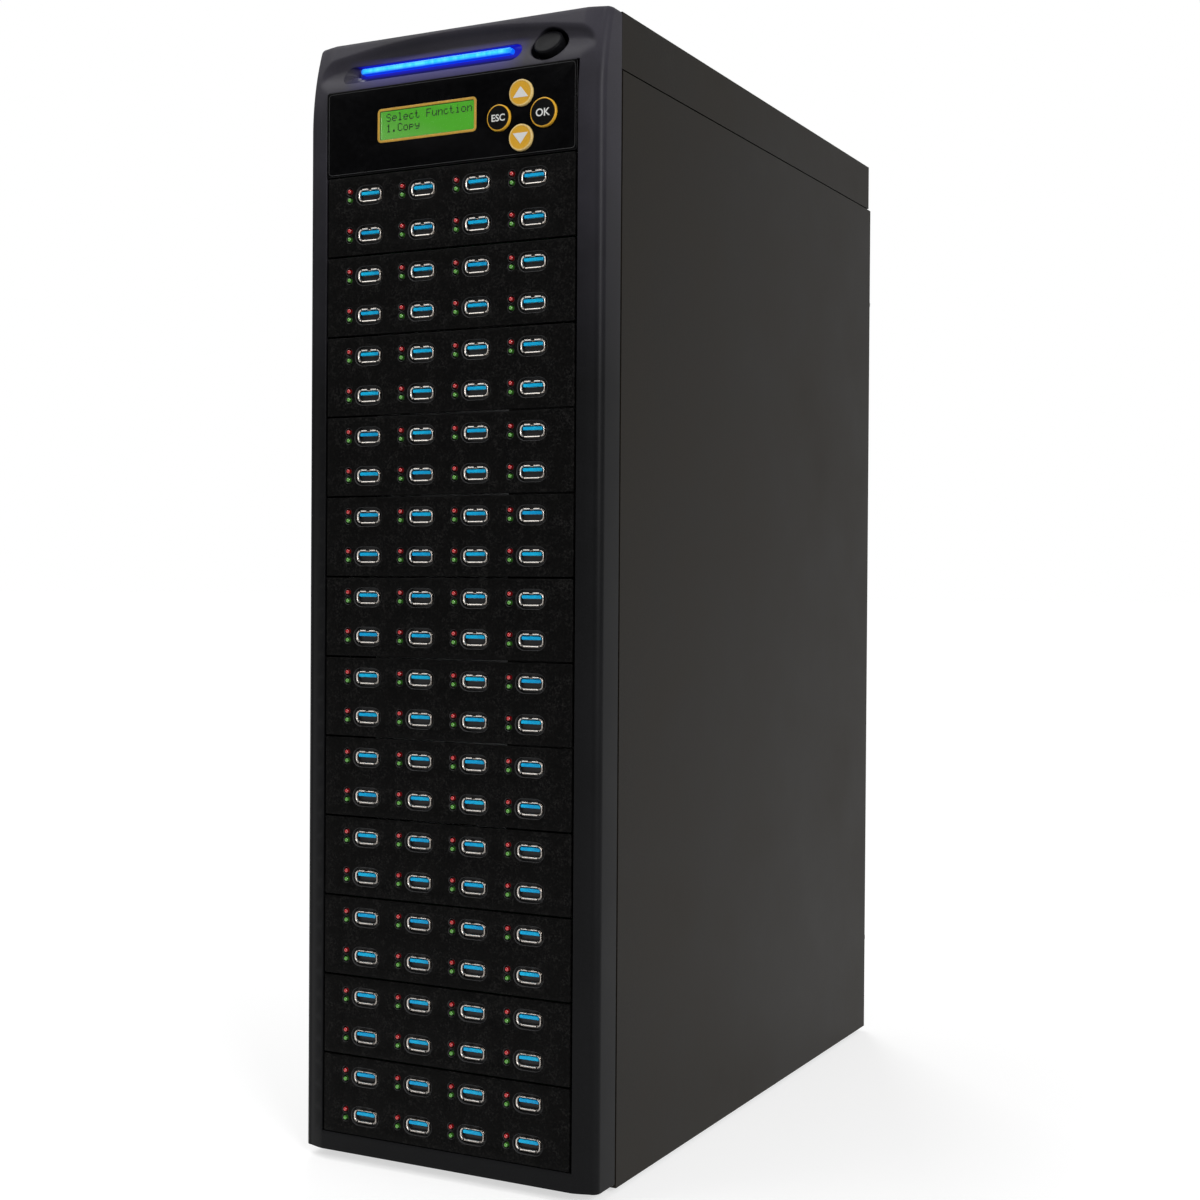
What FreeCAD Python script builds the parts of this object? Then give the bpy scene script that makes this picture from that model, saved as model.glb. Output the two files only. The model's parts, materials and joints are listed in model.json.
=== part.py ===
import FreeCAD, Part
import math
import os

os.makedirs("parts", exist_ok=True)

V = FreeCAD.Vector

# Drive duplicator tower: a steel case with a moulded front bezel, twelve 5.25 inch port
# modules of eight USB sockets each, a control panel above them and a lit strip on top.
# All lengths are in millimetres. +X is to the right seen from the front, +Y to the back, +Z up.
# The origin lies on the floor, under the middle of the whole tower's box.

# ---- general ----
SHEET = 1.0                  # sheet steel of the case
FIT = 0.3                    # clearance between pieces that are fitted together
FOOT_H = 3.0                 # floor to the lower edge of the case

# ---- case ----
COLUMN_W = 12.9              # bezel column beside the opening for the modules
CASE_D = 402.0               # face of the modules to the back of the rear panel
COVER_DROP = 0.5             # top of the cover below the top of the bezel
COVER_SKIRT = 28.5           # height of the cover's side skirts
PANEL_SEAM = 0.7             # open seam round a side panel
PANEL_FRONT_GAP = 1.5        # dark gap between the bezel and a side panel
PANEL_TAIL = 4.0             # side panel standing out behind the rear panel
PANEL_FLANGE = 8.0           # inward flanges of a side panel
PANEL_TRAVEL = 15.0          # backward travel that frees a side panel
REAR_FLANGE = 10.0           # forward flanges of the rear panel
CAGE_DEPTH = 170.0           # length of the bay walls
FOOT_W = 18.0
FOOT_CHAMFER = 4.0
FOOT_INSET_X = 26.0          # side of the case to the middle of a foot
FOOT_INSET_Y = 40.0          # front and back of the pan to the middle of a foot

# ---- bays ----
BAY_COUNT = 12
BAY_PITCH = 42.3
BAY_GAP = 1.0                # dark gap between two modules
MODULE_W = 148.6
FACE_T = 2.0                 # thickness of a module's face
EAR_T = 1.2                  # side ears of a module
EAR_D = 45.0
OPENING_GAP = 1.3            # each side, between the modules and the bezel
CONTROL_H = 45.0
CONTROL_GAP = 0.4            # round the control panel

# ---- ports ----
PORT_COLUMNS = 4
PORT_ROWS = 2
PORT_PITCH_X = 32.9
PORT_PITCH_Z = 20.7
PORT_OFFSET_X = 1.3          # the port field sits right of the middle, with the lamps on its left
PORT_W = 12.5                # inside of a socket's shell
PORT_H = 5.12
SHELL_T = 0.3
SHELL_L = 14.0
FLARE_W = 14.6               # flared mouth of a shell
FLARE_H = 7.7
FLARE_D = 1.2
CUTOUT_GAP = 0.7             # round the flared mouth of a shell
TONGUE_W = 11.1
TONGUE_T = 1.84
TONGUE_RISE = 1.1            # tongue above the middle of its socket
TONGUE_INSET = 0.8
BOARD_T = 1.6
BOARD_MARGIN = 2.0           # board inside the height of its module
LED_R = 1.3
LED_H = 1.0
LED_SIDES = 6
LED_DX = -12.5               # from the middle of a socket to its lamps
LED_SPREAD = 4.5
LED_RISE = 0.4

# ---- front bezel ----
BEZEL_D = 22.5
BEZEL_LIFT = 2.5             # lower edge of the bezel above the case's lower edge
BEZEL_WALL = 2.4
LIP_H = 9.7                  # strip under the lowest module
BROW_H = 27.8                # band over the control panel
CREASE_IN = 3.8              # crease of a column, in from its outer side
CREASE_BACK = 2.6
SHOULDER_BACK = 6.8          # start of a column's flat side, behind its front
SWEEP_H = 48.0               # height over which the front sweeps back
SWEEP_R = 137.0
SWEEP_STEPS = 3
CROWN_R = 4.0                # rounding of the front into the top
CROWN_STEPS = 2
BEZEL_CORNER_R = 4.0

# ---- hollow brow in the bezel ----
FLOOR_TILT = 34.0            # the hollow's floor, from the vertical
WALL_TILT = 55.0             # the hollow's upper wall, from the vertical
ARCH_DROP = 3.0              # arch below the top of the bezel
ARCH_IN = 3.6                # arch in from the sides of the bezel
ARCH_R = 397.0
ARCH_SHOULDER_R = 14.0
ARCH_BACK = 7.6              # depth of the arch's crown behind the face of the modules
SCOOP_EASE = 4.5             # eased corner between the hollow's floor and its wall

# ---- light strip ----
GROOVE_IN = 19.9             # left side of the case to the groove
GROOVE_GAP = 5.7             # groove to the button's well
GROOVE_H = 9.8
GROOVE_RISE = 9.6            # middle of the groove over the control panel
GROOVE_BACK = 13.5           # back wall of the groove, behind the face of the modules
STRIP_INSET = 7.5
STRIP_T = 3.3
STRIP_D = 2.0
STRIP_RISE = 1.4             # strip over the middle of the groove
STRIP_SIDES = 8

# ---- power button ----
BUTTON_IN = 32.9             # right side of the case to the middle of the button
BUTTON_UP = 13.0             # middle of the button, up the hollow's floor
BUTTON_R = 7.85
BUTTON_PROUD = 2.6
BUTTON_T = 6.0
BUTTON_CHAMFER = 0.8
BUTTON_TRAVEL = 2.0
BUTTON_SIDES = 16
WELL_R = 10.5
WELL_DEPTH = 5.5
STEM_R = 3.6
STEM_RUN = 4.8               # stem beyond the floor of the well
SWITCH_W = 10.0

# ---- control panel ----
KEY_R = 6.9
OK_KEY_R = 7.6
KEY_RISE = 20.3              # middle of the key cross over the foot of the panel
KEY_REACH_X = 12.9
KEY_REACH_Z = 11.2
KEY_PROUD = 1.2
KEY_TRAVEL = 0.8
KEY_TAIL = 1.6               # key behind the back of the panel
KEY_SIDES = 16
LCD_X = -12.9
LCD_RISE = 24.1              # middle of the display over the foot of the panel
LCD_W = 57.6
LCD_H = 15.1
LCD_RIM = 1.3                # gold rim round the display
LCD_RIM_T = 0.3
LCD_WINDOW_T = 0.8
LCD_FRAME_W = 71.0
LCD_FRAME_H = 26.0
LCD_FRAME_D = 7.0
LCD_KEY_GAP = 1.2            # display's frame to the nearest key
TACT_W = 6.0

# ---- power supply and inlet ----
PSU_IN = 13.5                # side of the case to the supply
PSU_H = 86.0
PSU_D = 140.0
PSU_RIM = 9.0                # rear panel overlapping the edge of the supply
PSU_FAN_IN = 45.0            # left side of the supply to the middle of its fan
PSU_FAN_MARGIN = 5.0         # fan's chamber to the supply's top and foot
PSU_FAN_DEPTH = 26.0
PSU_FAN_WALL = 2.0
MOTOR_STRUTS = 4
INLET_IN = 27.0              # right side of the supply to the middle of the inlet
INLET_RISE = 57.0            # middle of the inlet over the supply's foot
INLET_W = 27.0
INLET_H = 20.0
INLET_MOUTH_W = 24.0
INLET_MOUTH_H = 16.4
INLET_D = 18.0
INLET_MOUTH_D = 16.0
PIN_PITCH = 14.0
PIN_W = 2.0
PIN_H = 4.0
PIN_L = 13.0
PIN_EARTH_RISE = 2.0
ROCKER_RISE = 26.0
ROCKER_W = 20.0
ROCKER_H = 13.0
ROCKER_D = 9.0
ROCKER_TILT = 9.0            # rest position, either side of level

# ---- exhaust fans ----
FAN_W = 120.0
FAN_D = 25.0
FAN_HOLE_PITCH = 105.0
FAN_BORE_R = 57.0
FAN_HUB_R = 20.0
FAN_PLATE_T = 4.0            # motor plate and struts
FAN_STRUT_W = 7.0
FAN_LOWER_RISE = 190.0       # middle of a fan over the foot of the case
FAN_UPPER_RISE = 400.0
FAN_SIDES = 16
EXHAUST_RINGS = 2
PSU_RINGS = 2
BLADE_COUNT = 7
BLADE_T = 1.6
BLADE_ROOT_TILT = 48.0
BLADE_TIP_TILT = 28.0
TIP_GAP = 1.5
AXLE_R = 2.0
AXLE_SIDES = 8
AXLE_GAP = 0.15

# ---- grilles and fasteners ----
EXHAUST_SECTORS = 8
PSU_SECTORS = 6
GRILLE_SPOKE = 4.0
GRILLE_BAR = 3.5
THUMB_R = 6.0
THUMB_L = 8.0
THUMB_SIDES = 10
THUMB_SHANK_R = 2.0
THUMB_SHANK_SIDES = 6
THUMB_SHANK_L = 9.0
THUMB_RISE = (60.0, 500.0)   # over the foot of the case
SCREW_R = 3.4
SCREW_H = 2.0
SCREW_SIDES = 6

# ---- levels and planes worked out from these ----
OPENING_W = MODULE_W + 2 * OPENING_GAP
CASE_W = OPENING_W + 2 * COLUMN_W
CONTROL_W = OPENING_W - 2 * CONTROL_GAP
HALF_W = CASE_W / 2
TOTAL_D = KEY_PROUD + CASE_D + PANEL_TAIL + THUMB_L
FACE_Y = KEY_PROUD - TOTAL_D / 2
PLATE_BACK = FACE_Y + FACE_T
BEZEL_BACK = FACE_Y + BEZEL_D
FRAME_Y = BEZEL_BACK + FIT
REAR_BACK = FACE_Y + CASE_D
REAR_Y = REAR_BACK - SHEET

BASE_Z = FOOT_H
PAN_Z = BASE_Z + SHEET + FIT
PAN_TOP = PAN_Z + SHEET
BEZEL_Z = BASE_Z + BEZEL_LIFT
OPEN_Z = BEZEL_Z + LIP_H
CONTROL_Z = OPEN_Z + BAY_COUNT * BAY_PITCH + CONTROL_GAP / 2
BROW_Z = CONTROL_Z + CONTROL_H + CONTROL_GAP / 2
BEZEL_TOP = BROW_Z + BROW_H
COVER_TOP = BEZEL_TOP - COVER_DROP
COVER_UNDER = COVER_TOP - SHEET
SKIRT_Z = COVER_TOP - COVER_SKIRT
PANEL_TOP = SKIRT_Z - PANEL_SEAM
FRAME_HALF = HALF_W - SHEET - FIT
CAGE_HALF = MODULE_W / 2 + FIT
SHELL_BACK = FACE_Y + SHELL_L
CUTOUT_W = FLARE_W + 2 * CUTOUT_GAP
CUTOUT_H = FLARE_H + 2 * CUTOUT_GAP
PSU_W = CASE_W - 2 * PSU_IN
PSU_Z = PAN_TOP + FIT
PSU_FAN_X = PSU_FAN_IN - PSU_W / 2

FLOOR_DIR = V(0, math.sin(math.radians(FLOOR_TILT)), math.cos(math.radians(FLOOR_TILT)))
FLOOR_OUT = V(0, -FLOOR_DIR.z, FLOOR_DIR.y)
FLOOR_FOOT = V(0, FACE_Y, BROW_Z)
BUTTON_X = HALF_W - BUTTON_IN
BUTTON_SEAT = FLOOR_FOOT + FLOOR_DIR * BUTTON_UP + V(BUTTON_X, 0, 0)
STEM_TIP = BUTTON_SEAT - FLOOR_OUT * (WELL_DEPTH + STEM_RUN)
SWITCH_Y = STEM_TIP.y + STEM_R * FLOOR_DIR.y + BUTTON_TRAVEL + FIT
WELL_SIDE_X = BUTTON_X - WELL_R - BEZEL_WALL
GROOVE_LEFT = GROOVE_IN - HALF_W
GROOVE_W = BUTTON_X - WELL_R - GROOVE_GAP - GROOVE_LEFT
GROOVE_X = GROOVE_LEFT + GROOVE_W / 2
KEY_X = LCD_X + LCD_FRAME_W / 2 + LCD_KEY_GAP + KEY_R + KEY_REACH_X
PSU_FAN_R = PSU_H / 2 - PSU_FAN_MARGIN
INLET_X = PSU_W / 2 - INLET_IN
ROCKER_REACH = math.hypot(ROCKER_H, ROCKER_D) / 2 + FIT


# ---- helpers ----
def block(x, y, z):
    """Box between the low and high values given for each axis."""
    return Part.makeBox(x[1] - x[0], y[1] - y[0], z[1] - z[0], V(x[0], y[0], z[0]))


def centred(x, width):
    """Low and high values of a length centred on x."""
    return (x - width / 2, x + width / 2)


def prism(points, direction):
    """Solid swept straight from a flat closed outline."""
    return Part.Face(Part.makePolygon(points + points[:1])).extrude(direction)


def ring_points(radius, sides, centre, u, v):
    """Corners of a regular polygon with a flat side up, in the plane of u and v."""
    points = []
    for i in range(sides):
        angle = 2 * math.pi * (i + 0.5) / sides
        points.append(centre + u * (radius * math.cos(angle)) + v * (radius * math.sin(angle)))
    return points


def rod(radius, sides, start, along):
    """Many-sided rod from start, with its axis and length given by along."""
    v = V(0, 0, 1) if abs(along.z) < abs(along.y) else V(1, 0, 0)
    v = (v - along * (v.dot(along) / along.dot(along))).normalize()
    u = v.cross(along).normalize()
    return prism(ring_points(radius, sides, start, u, v), along)


def tapered(near, far, twisted):
    """Solid between two outlines of four corners; twisted sides are folded on a diagonal."""
    faces = [Part.Face(Part.makePolygon(near + near[:1])), Part.Face(Part.makePolygon(far + far[:1]))]
    for i in range(len(near)):
        a, b, c, d = near[i - 1], near[i], far[i], far[i - 1]
        corners = [[a, b, c], [a, c, d]] if twisted else [[a, b, c, d]]
        faces += [Part.Face(Part.makePolygon(p + p[:1])) for p in corners]
    return Part.makeSolid(Part.makeShell(faces))


def fused(shapes):
    """One solid from pieces that touch or cross."""
    return shapes[0].multiFuse(shapes[1:]).removeSplitter()


def mirrored(shape):
    """The same shape on the other side of the tower."""
    return shape.mirror(V(0, 0, 0), V(1, 0, 0))


def write(node, shape):
    shape.exportStep("parts/" + node + ".step")


# ---- case ----
def feet():
    corner = FOOT_W / 2
    cut = corner - FOOT_CHAMFER
    outline = [(corner, cut), (cut, corner), (-cut, corner), (-corner, cut),
               (-corner, -cut), (-cut, -corner), (cut, -corner), (corner, -cut)]
    solids = []
    for x in (FOOT_INSET_X - HALF_W, HALF_W - FOOT_INSET_X):
        for y in (FRAME_Y + FOOT_INSET_Y, REAR_Y - FOOT_INSET_Y):
            points = [V(x + a, y + b, 0) for a, b in outline]
            solids.append(prism(points, V(0, 0, PAN_Z)))
    return Part.makeCompound(solids)


def chassis_frame():
    """Pan, front plate, bay walls and top bridge, spot welded to one piece."""
    width = (-FRAME_HALF, FRAME_HALF)
    frame_top = COVER_UNDER - FIT
    pan = block(width, (FRAME_Y, REAR_BACK), (PAN_Z, PAN_TOP))
    front = block(width, (FRAME_Y, FRAME_Y + SHEET), (PAN_Z, frame_top))
    front = front.cut(block((-CAGE_HALF, CAGE_HALF), (FRAME_Y - SHEET, FRAME_Y + 2 * SHEET),
                            (OPEN_Z, BROW_Z)))
    cage = (FRAME_Y, FRAME_Y + CAGE_DEPTH)
    wall = block((CAGE_HALF, CAGE_HALF + SHEET), cage, (PAN_Z, frame_top))
    bridge = block(width, cage, (frame_top - SHEET, frame_top))
    shelf = block((-CAGE_HALF, CAGE_HALF), cage, (BROW_Z, BROW_Z + SHEET))
    return fused([pan, front, wall, mirrored(wall), bridge, shelf])


def top_cover():
    depth = (BEZEL_BACK + FIT, REAR_BACK)
    outer = block((-HALF_W, HALF_W), depth, (SKIRT_Z, COVER_TOP))
    inner = block((SHEET - HALF_W, HALF_W - SHEET), depth, (SKIRT_Z - SHEET, COVER_UNDER))
    return outer.cut(inner)


def side_panel():
    """Right panel: a tray whose rear edge folds in behind the rear panel."""
    depth = (BEZEL_BACK + PANEL_FRONT_GAP, REAR_BACK + PANEL_TAIL)
    inner = HALF_W - PANEL_FLANGE
    web = block((HALF_W - SHEET, HALF_W), depth, (BASE_Z, PANEL_TOP))
    foot = block((inner, HALF_W), (depth[0], REAR_BACK - PANEL_TRAVEL), (BASE_Z, BASE_Z + SHEET))
    tail = block((inner - THUMB_R, HALF_W), (depth[1] - SHEET, depth[1]), (BASE_Z, PANEL_TOP))
    panel = fused([web, foot, tail])
    for rise in THUMB_RISE:
        hole = rod(THUMB_SHANK_R + FIT, THUMB_SHANK_SIDES,
                   V(HALF_W - PANEL_FLANGE, depth[1] - 2 * SHEET, BASE_Z + rise),
                   V(0, 3 * SHEET, 0))
        panel = panel.cut(hole)
    return panel


def thumbscrews():
    """Captive screws of the right panel."""
    seat = REAR_BACK + PANEL_TAIL
    solids = []
    for rise in THUMB_RISE:
        at = V(HALF_W - PANEL_FLANGE, seat, BASE_Z + rise)
        head = rod(THUMB_R, THUMB_SIDES, at, V(0, THUMB_L, 0))
        shank = rod(THUMB_SHANK_R, THUMB_SHANK_SIDES, at, V(0, -THUMB_SHANK_L, 0))
        solids.append(fused([head, shank]))
    return Part.makeCompound(solids)


def grille_cuts(x, z, inner_r, outer_r, rings, sectors, y):
    """Straight-sided slots in rings round a fan's middle."""
    cuts = []
    band = (outer_r - inner_r - (rings - 1) * GRILLE_BAR) / rings
    for ring in range(rings):
        low = inner_r + ring * (band + GRILLE_BAR)
        high = low + band
        for sector in range(sectors):
            middle = 2 * math.pi * sector / sectors
            points = []
            for radius, side in ((low, -1), (high, -1), (high, 1), (low, 1)):
                swing = side * (math.pi / sectors - GRILLE_SPOKE / 2 / radius)
                points.append(V(x + radius * math.cos(middle + swing), y[0],
                                z + radius * math.sin(middle + swing)))
            cuts.append(prism(points, V(0, y[1] - y[0], 0)))
    return cuts


def rear_panel():
    """Plate with folded edges, the supply's window, two fan grilles and screw holes."""
    z = (PAN_TOP, COVER_UNDER - FIT)
    plate = block((-FRAME_HALF, FRAME_HALF), (REAR_Y, REAR_BACK), z)
    fold = (REAR_Y - REAR_FLANGE, REAR_Y)
    side = block((FRAME_HALF - SHEET, FRAME_HALF), fold, z)
    roof = block((-FRAME_HALF, FRAME_HALF), fold, (z[1] - SHEET, z[1]))
    panel = fused([plate, side, mirrored(side), roof])
    through = (REAR_Y - SHEET, REAR_BACK + SHEET)
    cuts = [block((PSU_RIM - PSU_W / 2, PSU_W / 2 - PSU_RIM), through,
                  (PSU_Z + PSU_RIM, PSU_Z + PSU_H - PSU_RIM))]
    for rise in (FAN_LOWER_RISE, FAN_UPPER_RISE):
        cuts += grille_cuts(0, BASE_Z + rise, FAN_HUB_R, FAN_BORE_R, EXHAUST_RINGS,
                            EXHAUST_SECTORS, through)
    for side_x in (PANEL_FLANGE - HALF_W, HALF_W - PANEL_FLANGE):
        for rise in THUMB_RISE:
            cuts.append(rod(THUMB_SHANK_R + FIT, THUMB_SHANK_SIDES,
                            V(side_x, through[0], BASE_Z + rise),
                            V(0, through[1] - through[0], 0)))
    return panel.cut(Part.makeCompound(cuts))


# ---- bezel ----
def bezel_section(z, setback):
    """Plan outline of the bezel at one height, its front moved back by setback."""
    front = FACE_Y + setback
    ease = 1 - math.cos(math.pi / 4)
    right = [V(HALF_W, BEZEL_BACK, z),
             V(HALF_W, front + SHOULDER_BACK, z),
             V(HALF_W - ease * CREASE_IN, front + CREASE_BACK + ease * (SHOULDER_BACK - CREASE_BACK), z),
             V(HALF_W - CREASE_IN, front + CREASE_BACK, z),
             V(OPENING_W / 2, front, z)]
    left = [V(-p.x, p.y, p.z) for p in right]
    edges = [Part.makeLine(left[0], right[0]),
             Part.makeLine(right[0], right[1]),
             Part.Arc(right[1], right[2], right[3]).toShape(),
             Part.makeLine(right[3], right[4]),
             Part.makeLine(right[4], left[4]),
             Part.makeLine(left[4], left[3]),
             Part.Arc(left[3], left[2], left[1]).toShape(),
             Part.makeLine(left[1], left[0])]
    return Part.Wire(edges)


def swept(up):
    """How far the front has moved back at one height over the start of its sweep."""
    return SWEEP_R - math.sqrt(SWEEP_R ** 2 - up ** 2)


def bezel_blank():
    """Outer form of the bezel, full all through."""
    bend = BEZEL_TOP - SWEEP_H
    rise = SWEEP_H - CROWN_R
    column = Part.Face(bezel_section(BEZEL_Z, 0)).extrude(V(0, 0, bend - BEZEL_Z))
    ups = [rise * i / SWEEP_STEPS for i in range(SWEEP_STEPS + 1)]
    sweep = Part.makeLoft([bezel_section(bend + up, swept(up)) for up in ups], True, True)
    turn = [math.radians(90.0 * i / CROWN_STEPS) for i in range(CROWN_STEPS + 1)]
    ups = [(rise + CROWN_R * math.sin(angle), CROWN_R * (1 - math.cos(angle))) for angle in turn]
    cap = Part.makeLoft([bezel_section(bend + up, swept(up) + back) for up, back in ups], True, True)
    blank = fused([column, sweep, cap])
    outline = block((-HALF_W, HALF_W), (FACE_Y - BEZEL_D, BEZEL_BACK), (BEZEL_Z, BEZEL_TOP))
    corners = [e for e in outline.Edges
               if len(e.Vertexes) == 2
               and abs(e.Vertexes[0].Z - BEZEL_TOP) < FIT and abs(e.Vertexes[1].Z - BEZEL_TOP) < FIT
               and abs(e.Vertexes[0].X - e.Vertexes[1].X) < FIT]
    return blank.common(outline.makeFillet(BEZEL_CORNER_R, corners))


def arch_outline():
    """Front outline of the hollow: two short sides, two shoulders and a long arch."""
    half = HALF_W - ARCH_IN
    crown = BEZEL_TOP - ARCH_DROP
    centre = crown - ARCH_R
    shoulder_x = half - ARCH_SHOULDER_R
    shoulder_z = centre + math.sqrt((ARCH_R - ARCH_SHOULDER_R) ** 2 - shoulder_x ** 2)
    lean = math.atan2(shoulder_x, shoulder_z - centre)
    middle = (lean + math.pi / 2) / 2
    y = FACE_Y + ARCH_BACK

    def at(angle, radius, x, z):
        return V(x + radius * math.sin(angle), y, z + radius * math.cos(angle))

    join = at(lean, ARCH_R, 0, centre)
    bend = at(middle, ARCH_SHOULDER_R, shoulder_x, shoulder_z)
    side = V(half, y, shoulder_z)
    foot = V(half, y, BROW_Z - BROW_H)

    def flip(p):
        return V(-p.x, p.y, p.z)

    edges = [Part.makeLine(flip(foot), foot),
             Part.makeLine(foot, side),
             Part.Arc(side, bend, join).toShape(),
             Part.Arc(join, V(0, y, crown), flip(join)).toShape(),
             Part.Arc(flip(join), flip(bend), flip(side)).toShape(),
             Part.makeLine(flip(side), flip(foot))]
    return Part.Face(Part.Wire(edges))


def brow_hollow():
    """Space of the hollow over the control panel, with its inner corner eased."""
    lean = V(0, math.sin(math.radians(WALL_TILT)), -math.cos(math.radians(WALL_TILT)))
    arch = arch_outline()
    arch.translate(lean * -BROW_H)
    arch = arch.extrude(lean * (2 * BROW_H))
    far = FLOOR_FOOT + FLOOR_DIR * (2 * BROW_H)
    near = FACE_Y - BEZEL_D
    side = [V(-CASE_W, FACE_Y, BROW_Z), V(-CASE_W, far.y, far.z), V(-CASE_W, near, far.z),
            V(-CASE_W, near, BROW_Z)]
    space = arch.common(prism(side, V(2 * CASE_W, 0, 0)))
    corner = []
    for edge in space.Edges:
        ends = [abs((v.Point - FLOOR_FOOT).dot(FLOOR_OUT)) < FIT / 10 for v in edge.Vertexes]
        if all(ends) and edge.BoundBox.ZMax > BROW_Z + SCOOP_EASE:
            corner.append(edge)
    return space.makeChamfer(SCOOP_EASE, corner)


def groove():
    """Round-ended groove that the light strip lies in."""
    z = BROW_Z + GROOVE_RISE
    radius = GROOVE_H / 2
    half = GROOVE_W / 2 - radius
    y = (FACE_Y, FACE_Y + GROOVE_BACK)
    ends = [Part.makeCylinder(radius, y[1] - y[0], V(GROOVE_X + s * half, y[0], z), V(0, 1, 0))
            for s in (-1, 1)]
    middle = block(centred(GROOVE_X, 2 * half), y, centred(z, GROOVE_H))
    return fused([middle] + ends)


def front_bezel():
    inner = OPENING_W / 2
    opening = block((-inner, inner), (FACE_Y - BEZEL_D, BEZEL_BACK + BEZEL_D), (OPEN_Z, BROW_Z))
    well = Part.makeCylinder(WELL_R, WELL_DEPTH + BUTTON_PROUD,
                             BUTTON_SEAT - FLOOR_OUT * WELL_DEPTH, FLOOR_OUT)
    guide = rod(STEM_R + FIT, BUTTON_SIDES, BUTTON_SEAT, FLOOR_OUT * -BEZEL_D)
    column = block((inner + BEZEL_WALL, HALF_W - BEZEL_WALL),
                   (FACE_Y + SHOULDER_BACK + BEZEL_WALL, BEZEL_BACK + BEZEL_D),
                   (BEZEL_Z + BEZEL_WALL, BROW_Z - BEZEL_WALL))
    brow = (BROW_Z + BEZEL_WALL, BEZEL_TOP - CROWN_R)
    pocket = block((-inner, WELL_SIDE_X), (FACE_Y + GROOVE_BACK + BEZEL_WALL, BEZEL_BACK + BEZEL_D),
                   brow)
    switch_room = block((WELL_SIDE_X, inner), (SWITCH_Y - FIT, BEZEL_BACK + BEZEL_D), brow)
    lip = block((-inner, inner), (FACE_Y + BEZEL_WALL, BEZEL_BACK + BEZEL_D),
                (BEZEL_Z + BEZEL_WALL, OPEN_Z - BEZEL_WALL))
    cuts = [opening, column, mirrored(column), pocket, switch_room, lip]
    bezel = bezel_blank().cut(brow_hollow()).cut(Part.makeCompound(cuts))
    return bezel.cut(groove()).cut(well).cut(guide)


def button_ring(radius, centre):
    """Outline of the power button's cap, square to its travel."""
    points = ring_points(radius, BUTTON_SIDES, centre, V(1, 0, 0), FLOOR_DIR)
    return Part.makePolygon(points + points[:1])


def power_button():
    """Round cap in its well, with the stem that reaches the switch."""
    under = BUTTON_SEAT - FLOOR_OUT * (BUTTON_T - BUTTON_PROUD)
    rim = FLOOR_OUT * (BUTTON_T - BUTTON_CHAMFER)
    cap = rod(BUTTON_R, BUTTON_SIDES, under, rim)
    top = Part.makeLoft([button_ring(BUTTON_R, under + rim),
                         button_ring(BUTTON_R - BUTTON_CHAMFER, under + FLOOR_OUT * BUTTON_T)],
                        True, True)
    stem = rod(STEM_R, BUTTON_SIDES, STEM_TIP, under - STEM_TIP)
    return fused([cap, top, stem])


def power_switch():
    """Push switch standing on the front plate behind the button's stem."""
    foot = BROW_Z + BEZEL_WALL + FIT
    return block(centred(BUTTON_X, SWITCH_W), (SWITCH_Y, FRAME_Y), (foot, foot + SWITCH_W))


def light_strip():
    """Clear bar on the back wall of the groove, with rounded ends."""
    z = BROW_Z + GROOVE_RISE + STRIP_RISE
    radius = STRIP_T / 2
    half = GROOVE_W / 2 - STRIP_INSET - radius
    back = FACE_Y + GROOVE_BACK
    middle = block(centred(GROOVE_X, 2 * half), (back - STRIP_D, back), centred(z, STRIP_T))
    ends = [rod(radius, STRIP_SIDES, V(GROOVE_X + s * half, back, z), V(0, -STRIP_D, 0))
            for s in (-1, 1)]
    return fused([middle] + ends)


def strip_board():
    """Board of the strip's lamps, on the back of the groove's wall."""
    y = FACE_Y + GROOVE_BACK + BEZEL_WALL
    return block(centred(GROOVE_X, GROOVE_W), (y, y + BOARD_T),
                 centred(BROW_Z + GROOVE_RISE + STRIP_RISE, GROOVE_H))


# ---- modules and control panel ----
def tray(width, z, cuts):
    """Face of a module with its two side ears; cuts go through the face."""
    ear_half = MODULE_W / 2
    face = block(centred(0, width), (FACE_Y, PLATE_BACK), z)
    ear = block((ear_half - EAR_T, ear_half), (FACE_Y, FACE_Y + EAR_D), z)
    return fused([face, ear, mirrored(ear)]).cut(Part.makeCompound(cuts))


def bay_foot(bay):
    """Lower edge of the module in one bay, counted from the lowest."""
    return OPEN_Z + bay * BAY_PITCH + BAY_GAP / 2


def port_places(bay):
    """Middles of the sockets of one module."""
    z = bay_foot(bay) + (BAY_PITCH - BAY_GAP) / 2
    places = []
    for row in range(PORT_ROWS):
        for column in range(PORT_COLUMNS):
            places.append((PORT_OFFSET_X + (column - (PORT_COLUMNS - 1) / 2) * PORT_PITCH_X,
                           z + (row - (PORT_ROWS - 1) / 2) * PORT_PITCH_Z))
    return places


def port_faceplate(bay):
    z = bay_foot(bay)
    cuts = [block(centred(x, CUTOUT_W), (FACE_Y - FACE_T, PLATE_BACK + FACE_T), centred(up, CUTOUT_H))
            for x, up in port_places(bay)]
    return tray(MODULE_W, (z, z + BAY_PITCH - BAY_GAP), cuts)


def port_board(bay):
    width = MODULE_W - 2 * (EAR_T + FIT)
    z = bay_foot(bay)
    return block(centred(0, width), (SHELL_BACK, SHELL_BACK + BOARD_T),
                 (z + BOARD_MARGIN, z + BAY_PITCH - BAY_GAP - BOARD_MARGIN))


def mouth(width, height, y):
    """Corners of a socket's outline at one depth."""
    return [V(-width / 2, y, -height / 2), V(width / 2, y, -height / 2),
            V(width / 2, y, height / 2), V(-width / 2, y, height / 2)]


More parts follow.
